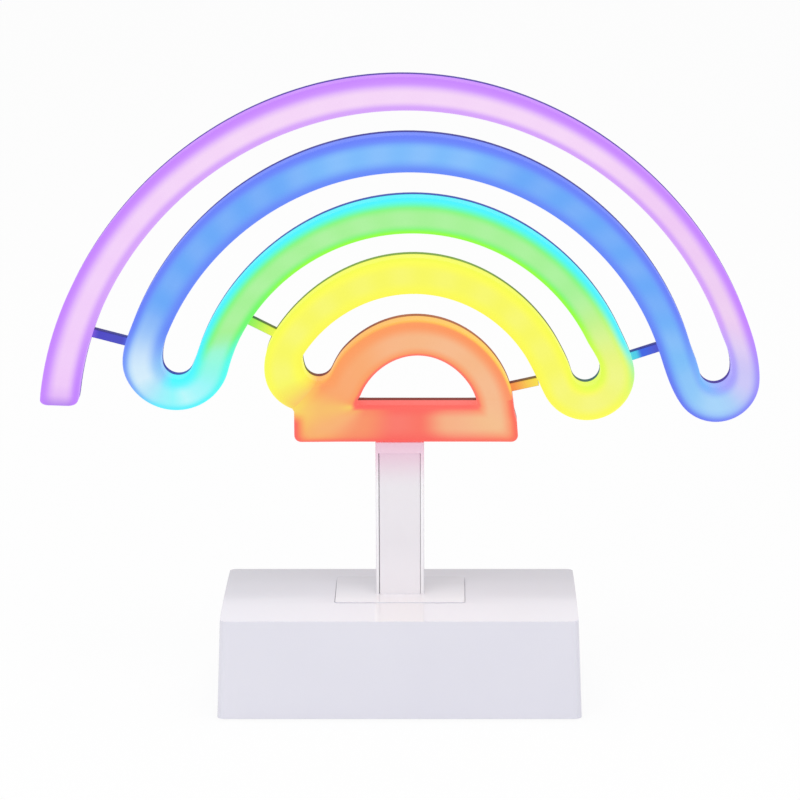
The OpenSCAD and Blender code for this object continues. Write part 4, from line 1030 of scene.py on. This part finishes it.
def cut_away(mesh, cutter):
    """Takes one bmesh out of another with Blender's exact boolean; returns a new bmesh."""
    objects = []
    for part in (mesh, cutter):
        face_outwards(part)
        data = bpy.data.meshes.new("work")
        part.to_mesh(data)
        part.free()
        objects.append(add_object("work", data))
    whole, tool = objects
    taken = whole.modifiers.new("taken", "BOOLEAN")
    taken.operation = "DIFFERENCE"
    taken.solver = "EXACT"
    taken.object = tool
    bpy.context.view_layer.update()
    result = whole.evaluated_get(bpy.context.evaluated_depsgraph_get()).to_mesh()
    out = bmesh.new()
    out.from_mesh(result)
    for thing in objects:
        data = thing.data
        bpy.data.objects.remove(thing)
        bpy.data.meshes.remove(data)
    return out


cover_screw_boxes = loose_parts("cover_screws")
COVER_HEAD_R = 1.7
COVER_HEAD_H = 0.9
RECESS_ROOM = 0.15
# The bar's screws lie within the first distance of the window's centre, and above the bar the second
BAR_REACH, ARC_REACH = 45, 33


def screw_recesses(near_bar):
    """Round recesses for the heads of the cover screws, for the bar or for the arches."""
    mesh = bmesh.new()
    back = HEAD_FRONT + COVER_BACK
    for low, high in cover_screw_boxes:
        middle = (low + high) / 2
        up = middle.z / MM - HEAD_Z
        reach = Vector((middle.x / MM - WINDOW_ARC[0], up - WINDOW_ARC[1])).length
        if (reach < BAR_REACH and not (up > BAR_TOP and reach > ARC_REACH)) == near_bar:
            add_rod(mesh, middle, (COVER_HEAD_R + RECESS_ROOM) * MM, (back - COVER_HEAD_H) * MM,
                    (back + 1) * MM)
    return mesh


def finish_cover(mesh, name, node, near_bar):
    material, slot = (cover_bar, "cover_brown") if near_bar else (cover_arches, "cover_indigo")
    lay_to_uv(mesh)
    merged(mesh)
    thicken(mesh, faces_back=True)
    mesh = cut_away(mesh, screw_recesses(near_bar))
    finish_mesh(mesh, name, material, "lamp", [node], smooth_below=30)


FOOT_INSET = 0.6


def arch_cover():
    mesh = bmesh.new()
    steps = foot_steps()
    rings = [cover_across(drawn_in(pair, inset * FOOT_INSET)) for pair, inset, _ in steps]
    rings += [cover_across(pair) for pair in tube_rails[ABOVE_FOOT:]]
    lines = band_skin(mesh, rings, [up for _, _, up in steps] + tube_far[ABOVE_FOOT:])
    mesh.faces.new(lines[0])
    finish_cover(mesh, "arch_cover", "rear_cover", False)


def bar_cover():
    mesh = bmesh.new()
    rings = [cover_across(pair) for pair in bar_rails]
    rings.append(rings[0])
    band_skin(mesh, rings, bar_far + [bar_total])
    finish_cover(mesh, "bar_cover", "window_cover", True)


arch_cover()
bar_cover()

# Struts of the cover: [circle, how far off it, angle] of the one end and of the other. Their ends reach
# into the bands by their root.
STRUT_ROOT = 0.8
STRUT_H = 3.5
STRUT_EDGE_R = 0.6
STRUTS = [(PURPLE_IN, STRUT_ROOT, 161.8, BLUE_OUT, -STRUT_ROOT, 163.9),
          (GREEN_IN, STRUT_ROOT, 148.5, YELLOW_OUT, -STRUT_ROOT, 149.1),
          (GREEN_OUT, -STRUT_ROOT, 15.5, BLUE_IN, STRUT_ROOT, 17.8),
          (ORANGE_OUT, -STRUT_ROOT, 14.4, YELLOW_IN, -0.15, 16.2)]


def grown(circle, by):
    return (circle[0], circle[1], circle[2] + by, circle[3])


def add_strut(mesh, uv, row):
    """One strut, with its number and its share of the way along it as a UV map."""
    first, first_in, first_at, second, second_in, second_at = STRUTS[row]
    start = in_head(on(grown(first, first_in), first_at), SHELL_DEEP)
    end = in_head(on(grown(second, second_in), second_at), SHELL_DEEP)
    run = (end - start).normalized()
    up = Vector((0, 1, 0)).cross(run) * STRUT_H * MM / 2
    back = Vector((0, COVER_DEEP - STRUT_EDGE_R, 0)) * MM
    others = set(mesh.faces)
    base = [mesh.verts.new(start + a * up + b * back) for a, b in ((-1, 0), (1, 0), (1, 1), (-1, 1))]
    face = mesh.faces.new(base)
    pushed(mesh, [face], end - start)
    own_edges = {edge for face in mesh.faces if face not in others for edge in face.edges}
    along = [edge for edge in own_edges
             if abs((edge.verts[0].co - edge.verts[1].co).dot(run)) > 0.9 * (end - start).length]
    round_off(mesh, along, STRUT_EDGE_R, segments=4)
    for face in mesh.faces:
        if face in others:
            continue
        for loop in face.loops:
            share = (loop.vert.co - start).dot(run) / (end - start).length
            loop[uv].uv = ((row + min(max(share, 0.01), 0.99)) / len(STRUTS), 0.5)


def struts():
    for name, rows, slot, node in (("arch_struts", (0, 1, 2), "cover_indigo", "rear_cover"),
                                   ("window_strut", (3,), "cover_brown", "window_cover")):
        mesh = bmesh.new()
        uv = mesh.loops.layers.uv.new("along_across")
        for row in rows:
            add_strut(mesh, uv, row)
        face_outwards(mesh)
        finish_mesh(mesh, name, strut_painted_glow, "lamp", [node])


struts()


# Column with its panel, built over their nodes

def block(low, high):
    """A bmesh with one box, given in millimetres."""
    mesh = bmesh.new()
    size = Vector(high) - Vector(low)
    matrix = Matrix.Translation((Vector(low) + size / 2) * MM) @ Matrix.Diagonal((*(size * MM), 1))
    bmesh.ops.create_cube(mesh, size=1, matrix=matrix)
    return mesh


def upright(edge):
    return abs(edge.verts[0].co.z - edge.verts[1].co.z) > 30 * MM


def outermost(edge):
    return all(abs(vert.co.x) > (column_high[0] - 0.1) * MM for vert in edge.verts)


def round_off_where(mesh, chosen, radius_mm):
    round_off(mesh, [edge for edge in mesh.edges if len(edge.link_faces) == 2
                     and edge.calc_face_angle() > 0.5 and chosen(edge)], radius_mm)


# The column sinks into its plate, and the panel has a groove on its left and on its right and is tucked
# under the collar
SUNK = 0.4
GROOVES = (0.3, 0.14)
TUCKED = 0.14


def column():
    mesh = block((column_low[0], column_low[1], PLATE_TOP - SUNK), column_high)
    cuts = [((panel_low[0] - GROOVES[0], 0, 0), (1, 0, 0)), ((panel_high[0] + GROOVES[1], 0, 0), (1, 0, 0)),
            ((0, 0, panel_high[2]), (0, 0, 1))]
    for place, normal in cuts:
        bmesh.ops.bisect_plane(mesh, geom=mesh.verts[:] + mesh.edges[:] + mesh.faces[:], dist=1e-7,
                               plane_co=Vector(place) * MM, plane_no=normal)
    front = [face for face in mesh.faces if face.normal.y < -0.9
             and abs(face.calc_center_median().x) < 5 * MM
             and face.calc_center_median().z < panel_high[2] * MM]
    pushed(mesh, front, (0, (panel_high[1] - column_low[1]) * MM, 0))
    bmesh.ops.delete(mesh, geom=front, context="FACES")
    made_flat(mesh, 0.01)
    round_off_where(mesh, outermost, 0.5)
    face_outwards(mesh)
    finish_mesh(mesh, "column", column_white, "lamp", ["stand_column"],
                smooth_below=60, flat_faces=True)


def panel():
    mesh = block((panel_low[0], panel_low[1], PLATE_TOP), (*panel_high[:2], panel_high[2] + TUCKED))
    round_off_where(mesh, upright, 0.25)
    face_outwards(mesh)
    finish_mesh(mesh, "front_panel", panel_white, "lamp", ["column_panel"],
                smooth_below=60, flat_faces=True)


column()
panel()


# Plain mouldings keep the shape of their nodes, with rounded edges

SHARP = 35


def moulded(node, name, material, body, edge_mm):
    """A merged copy of a node with its sharp outer edges rounded."""
    mesh = node_copy(node)
    made_flat(mesh, math.radians(0.4))
    round_off(mesh, [edge for edge in mesh.edges if len(edge.link_faces) == 2 and edge.is_convex
                     and edge.calc_face_angle() > math.radians(SHARP)], edge_mm)
    finish_mesh(mesh, name, material, body, [node], smooth_below=50, flat_faces=True)


moulded("base_housing", "housing", housing_white, "lamp", 0.5)
moulded("foot_plate", "plate_under_column", plate_white, "lamp", 0.3)
moulded("base_bottom", "bottom_plate", underside_white, "lamp", 0.25)
moulded("battery_door", "door", underside_white, "battery_door", 0.3)
moulded("rubber_feet", "feet", foot_rubber, "lamp", 0.35)
moulded("switch_knob", "knob", white_gloss, "switch_knob", 0.15)
moulded("head_plug", "plug_under_head", backing, "lamp", 0.3)


def dress(node, material):
    """Gives a node that keeps its own shape a material."""
    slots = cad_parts[node].material_slots
    if slots:
        for slot in slots:
            slot.material = material
    else:
        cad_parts[node].data.materials.append(material)


for node, material in (
        ("cover_screws", screw_steel), ("light_strip", strip_white), ("plate_screws", screw_steel),
        ("stand_washer", spring_steel), ("stand_screws", screw_steel), ("bottom_screws", screw_steel),
        ("battery_contacts", spring_steel), ("driver_board", board_green), ("board_screws", screw_steel),
        ("controller_chip", chip_black), ("smoothing_capacitor", capacitor_sleeve), ("resistors", chip_black),
        ("lead_header", header_ivory), ("power_inlet", inlet_steel), ("inlet_tongue", chip_black),
        ("switch_body", switch_black)):
    dress(node, material)
for node, colour in (("chips_purple", (205, 150, 255)), ("chips_blue", (110, 160, 255)),
                     ("chips_green", (120, 250, 130)), ("chips_yellow", (250, 250, 110)),
                     ("chips_orange", (255, 160, 105))):
    dress(node, chip_material(node.replace("_", " "), colour))


# Cells, springs and leads inside the base

CELL_R = 7.25
CELL_L = 50.5
CELL_PITCH = 15.1
SPRING_L = 5.7
CONTACT = 0.4
ROWS = (-1, 0, 1)
SLEEVE_R = 6.6


def cell_profile():
    """Half outline of a cell, from the button to the flat end, as [along, radius] in millimetres."""
    return [(0, 0), (0, 2.5), (0.2, 2.75), (1.3, 2.75), (1.5, 3.2), (1.5, 5.9), (1.1, 6.2), (1.1, 6.9),
            (1.5, CELL_R), (3.0, CELL_R), (3.2, 7.05), (3.5, 7.05), (3.7, CELL_R), (CELL_L - 0.8, CELL_R),
            (CELL_L - 0.3, 6.9), (CELL_L - 0.2, 5.8), (CELL_L, 5.5), (CELL_L, 0)]


def make_cells():
    low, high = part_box("battery_cells")
    z = (low[2] + high[2]) / 2
    row_y = [(low[1] + high[1]) / 2 + row * CELL_PITCH * MM for row in ROWS]
    mesh = bmesh.new()
    uv = mesh.loops.layers.uv.new("UVMap")
    for k, y in enumerate(row_y):
        start, way = (low[0], -1) if k % 2 else (high[0], 1)
        line = [mesh.verts.new((start - way * along * MM, y, z + radius * MM))
                for along, radius in cell_profile()]
        edges = [mesh.edges.new((line[n], line[n + 1])) for n in range(len(line) - 1)]
        bmesh.ops.spin(mesh, geom=line + edges, cent=(0, y, z), axis=(1, 0, 0), angle=2 * math.pi,
                       steps=40, use_merge=True, use_duplicate=False)
    merged(mesh)
    face_outwards(mesh)
    for face in mesh.faces:
        for loop in face.loops:
            place = loop.vert.co
            row = min(range(3), key=lambda n: abs(place.y - row_y[n]))
            from_button = (place.x - low[0] if row % 2 else high[0] - place.x) / MM
            off = math.hypot(place.y - row_y[row], place.z - z) / MM
            loop[uv].uv = (from_button / CELL_L, 1.0 if off < SLEEVE_R else 0.0)
    finish_mesh(mesh, "cells", cell_wrap, "lamp", ["battery_cells"])


make_cells()


def wire(name, points, radius_mm, material, node, smooth=True):
    """A round wire along points given in millimetres."""
    data = bpy.data.curves.new(name, "CURVE")
    data.dimensions = "3D"
    data.bevel_depth = radius_mm * MM
    data.bevel_resolution = 3
    data.use_fill_caps = True
    for row in points:
        spline = data.splines.new("NURBS" if smooth else "POLY")
        spline.points.add(len(row) - 1)
        for point, place in zip(spline.points, row):
            point.co = (place[0] * MM, place[1] * MM, place[2] * MM, 1)
        if smooth:
            spline.order_u = 3
            spline.use_endpoint_u = True
            spline.resolution_u = 8
    data.materials.append(material)
    curve = add_object(name, data)
    drawn = bpy.data.meshes.new_from_object(curve)
    bpy.data.objects.remove(curve)
    for face in drawn.polygons:
        face.use_smooth = True
    piece = add_object(name, drawn)
    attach(piece, "lamp")
    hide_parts(node)


bay_low, bay_high = box_mm("battery_contacts")
bay_y = (bay_low[1] + bay_high[1]) / 2
bay_z = (bay_low[2] + bay_high[2]) / 2


SPRING_R = (4.4, 2.6)
SPRING_TURNS = 3.5
SPRING_POINTS = 140
SPRING_WIRE_R = 0.35


def spring_rows():
    """Each spring is a coil that narrows towards its cell."""
    rows = []
    for k, row in enumerate(ROWS):
        start, way = (bay_high[0] - CONTACT, -1) if k % 2 else (bay_low[0] + CONTACT, 1)
        coil = []
        for n in range(SPRING_POINTS + 1):
            share = n / SPRING_POINTS
            radius = part_way(*SPRING_R, share)
            turn = 2 * math.pi * SPRING_TURNS * share
            coil.append((start + way * part_way(SPRING_WIRE_R, SPRING_L - SPRING_WIRE_R, share),
                         bay_y + row * CELL_PITCH + way * radius * math.cos(turn),
                         bay_z + radius * math.sin(turn)))
        rows.append(coil)
    return rows


wire("springs", spring_rows(), SPRING_WIRE_R, spring_steel, "battery_springs", smooth=False)

header_low, header_high = box_mm("lead_header")
PLUS_Y = bay_y + CELL_PITCH
MINUS_Y = bay_y - CELL_PITCH
PASS_Z = bay_z + 4
LEAD_IN_Z = header_low[2] + 3
LEAD_R = 0.6
LEAD_PITCH = 1.6
PLATE_PASS_Z, TENON_Z, BEND_Z, TOP_BEND_Z = 28, 29.1, 33.1, 48
OVER_BAY_Z = bay_z + 10.05
wire("battery_wire_red", [[
    (bay_high[0], PLUS_Y, PASS_Z), (bay_high[0] + 4, PLUS_Y, PASS_Z),
    (bay_high[0] + 8, PLUS_Y - 8, LEAD_IN_Z + 3), (header_low[0] - 5, header_high[1] - 1.2, LEAD_IN_Z),
    (header_low[0], header_high[1] - 1.2, LEAD_IN_Z)]],
    LEAD_R, wire_red, "battery_lead_plus")
wire("battery_wire_black", [[
    (bay_low[0], MINUS_Y, PASS_Z), (bay_low[0] - 4, MINUS_Y, PASS_Z),
    (bay_low[0] - 4, MINUS_Y + 2, OVER_BAY_Z), (bay_low[0] + 4, MINUS_Y + 2, OVER_BAY_Z),
    (bay_high[0] - 4, header_low[1], OVER_BAY_Z), (bay_high[0] + 3.6, header_low[1], OVER_BAY_Z),
    (header_low[0] - 5, header_low[1] + 1.2, LEAD_IN_Z), (header_low[0], header_low[1] + 1.2, LEAD_IN_Z)]],
    LEAD_R, wire_black, "battery_lead_minus")


def lamp_wire(name, side, x_start, material, node):
    """A lead from the header up through the column, and back into the bar of the head."""
    off = side * LEAD_PITCH / 2
    y_start = (header_low[1] + header_high[1]) / 2
    top = header_high[2]
    z_bar = HEAD_Z + BAR_TOP / 2 - 1.2 * off
    wire(name, [[
        (x_start, y_start, top), (x_start, y_start, top + 6), (x_start - 10, off, PLATE_PASS_Z),
        (5, 2.2 + off, TENON_Z), (0, 2.2 + off, BEND_Z), (0, 2.2 + off, TOP_BEND_Z),
        (0, 0.5 + off, TOP_BEND_Z + 10), (0, 0.5 + off, z_bar - 2.5),
        (0, 1.5 + off, z_bar), (0, 6, z_bar)]], LEAD_R, material, node)


lamp_wire("lamp_wire_red", 1, header_high[0] - 3, wire_red, "lamp_lead_plus")
lamp_wire("lamp_wire_black", -1, header_low[0] + 3, wire_black, "lamp_lead_minus")


# Floor, lamps and world

FLOOR_WHITE = 0.9
FLOOR_X, FLOOR_NEAR, FLOOR_FAR = 4, -4, 3


def seen_by(tree, first, second):
    """1 for two kinds of ray and 0 for the rest."""
    ray = tree.nodes.new("ShaderNodeLightPath")
    return math_node(tree, "MAXIMUM", ray.outputs[first], ray.outputs[second])


def pick_shader(tree, share, first, second, output):
    """Mixes two shaders into the tree's output."""
    pick = tree.nodes.new("ShaderNodeMixShader")
    tree.links.new(share, pick.inputs["Fac"])
    tree.links.new(first, pick.inputs[1])
    tree.links.new(second, pick.inputs[2])
    tree.links.new(pick.outputs["Shader"], tree.nodes[output].inputs["Surface"])


def make_floor():
    mesh = bmesh.new()
    line = first_line(mesh, [Vector((-FLOOR_X, y, 0)) for y in (FLOOR_NEAR, FLOOR_FAR)])
    draw_on(mesh, line, [Vector((FLOOR_X, y, 0)) for y in (FLOOR_NEAR, FLOOR_FAR)])
    data = bpy.data.meshes.new("floor")
    mesh.to_mesh(data)
    mesh.free()
    floor = add_object("floor", data)
    material, tree, shader = new_material("pale floor")
    give(shader, {"Base Color": linear(250, 250, 250), "Roughness": 0.9, "Specular IOR Level": 0.1})
    plain = tree.nodes.new("ShaderNodeEmission")
    give(plain, {"Strength": 1.0})
    seen = math_node(tree, "MULTIPLY", seen_by(tree, "Is Camera Ray", "Is Glossy Ray"), FLOOR_WHITE)
    pick_shader(tree, seen, shader.outputs["BSDF"], plain.outputs["Emission"], "Material Output")
    data.materials.append(material)


make_floor()


def soft_lamp(name, place, aim, size, power):
    data = bpy.data.lights.new(name, "AREA")
    data.shape = "RECTANGLE"
    data.size = size[0]
    data.size_y = size[1]
    data.energy = power
    lamp = add_object(name, data)
    lamp.location = place
    lamp.rotation_euler = (Vector(aim) - Vector(place)).to_track_quat("-Z", "Y").to_euler()


soft_lamp("overhead", (0, -0.2, 1.6), (0, 0, 0.05), (1.6, 1.2), 9)
soft_lamp("front_left", (-1.1, -1.5, 0.9), (0, 0, 0.1), (0.9, 0.9), 5.0)
soft_lamp("front_right", (1.2, -1.4, 0.7), (0, 0, 0.1), (0.9, 0.9), 3.3)
soft_lamp("rear_high", (0, 2.4, 1.25), (0, 0, 0.04), (3.0, 0.8), 5.5)

world = bpy.data.worlds.new("studio")
bpy.context.scene.world = world
world.use_nodes = True
sky = world.node_tree
light_side = sky.nodes["Background"]
seen_side = sky.nodes.new("ShaderNodeBackground")
for side, strength in ((light_side, 0.62), (seen_side, 1.0)):
    give(side, {"Color": (1, 1, 1, 1), "Strength": strength})
pick_shader(sky, seen_by(sky, "Is Camera Ray", "Is Transmission Ray"), light_side.outputs["Background"],
            seen_side.outputs["Background"], "World Output")
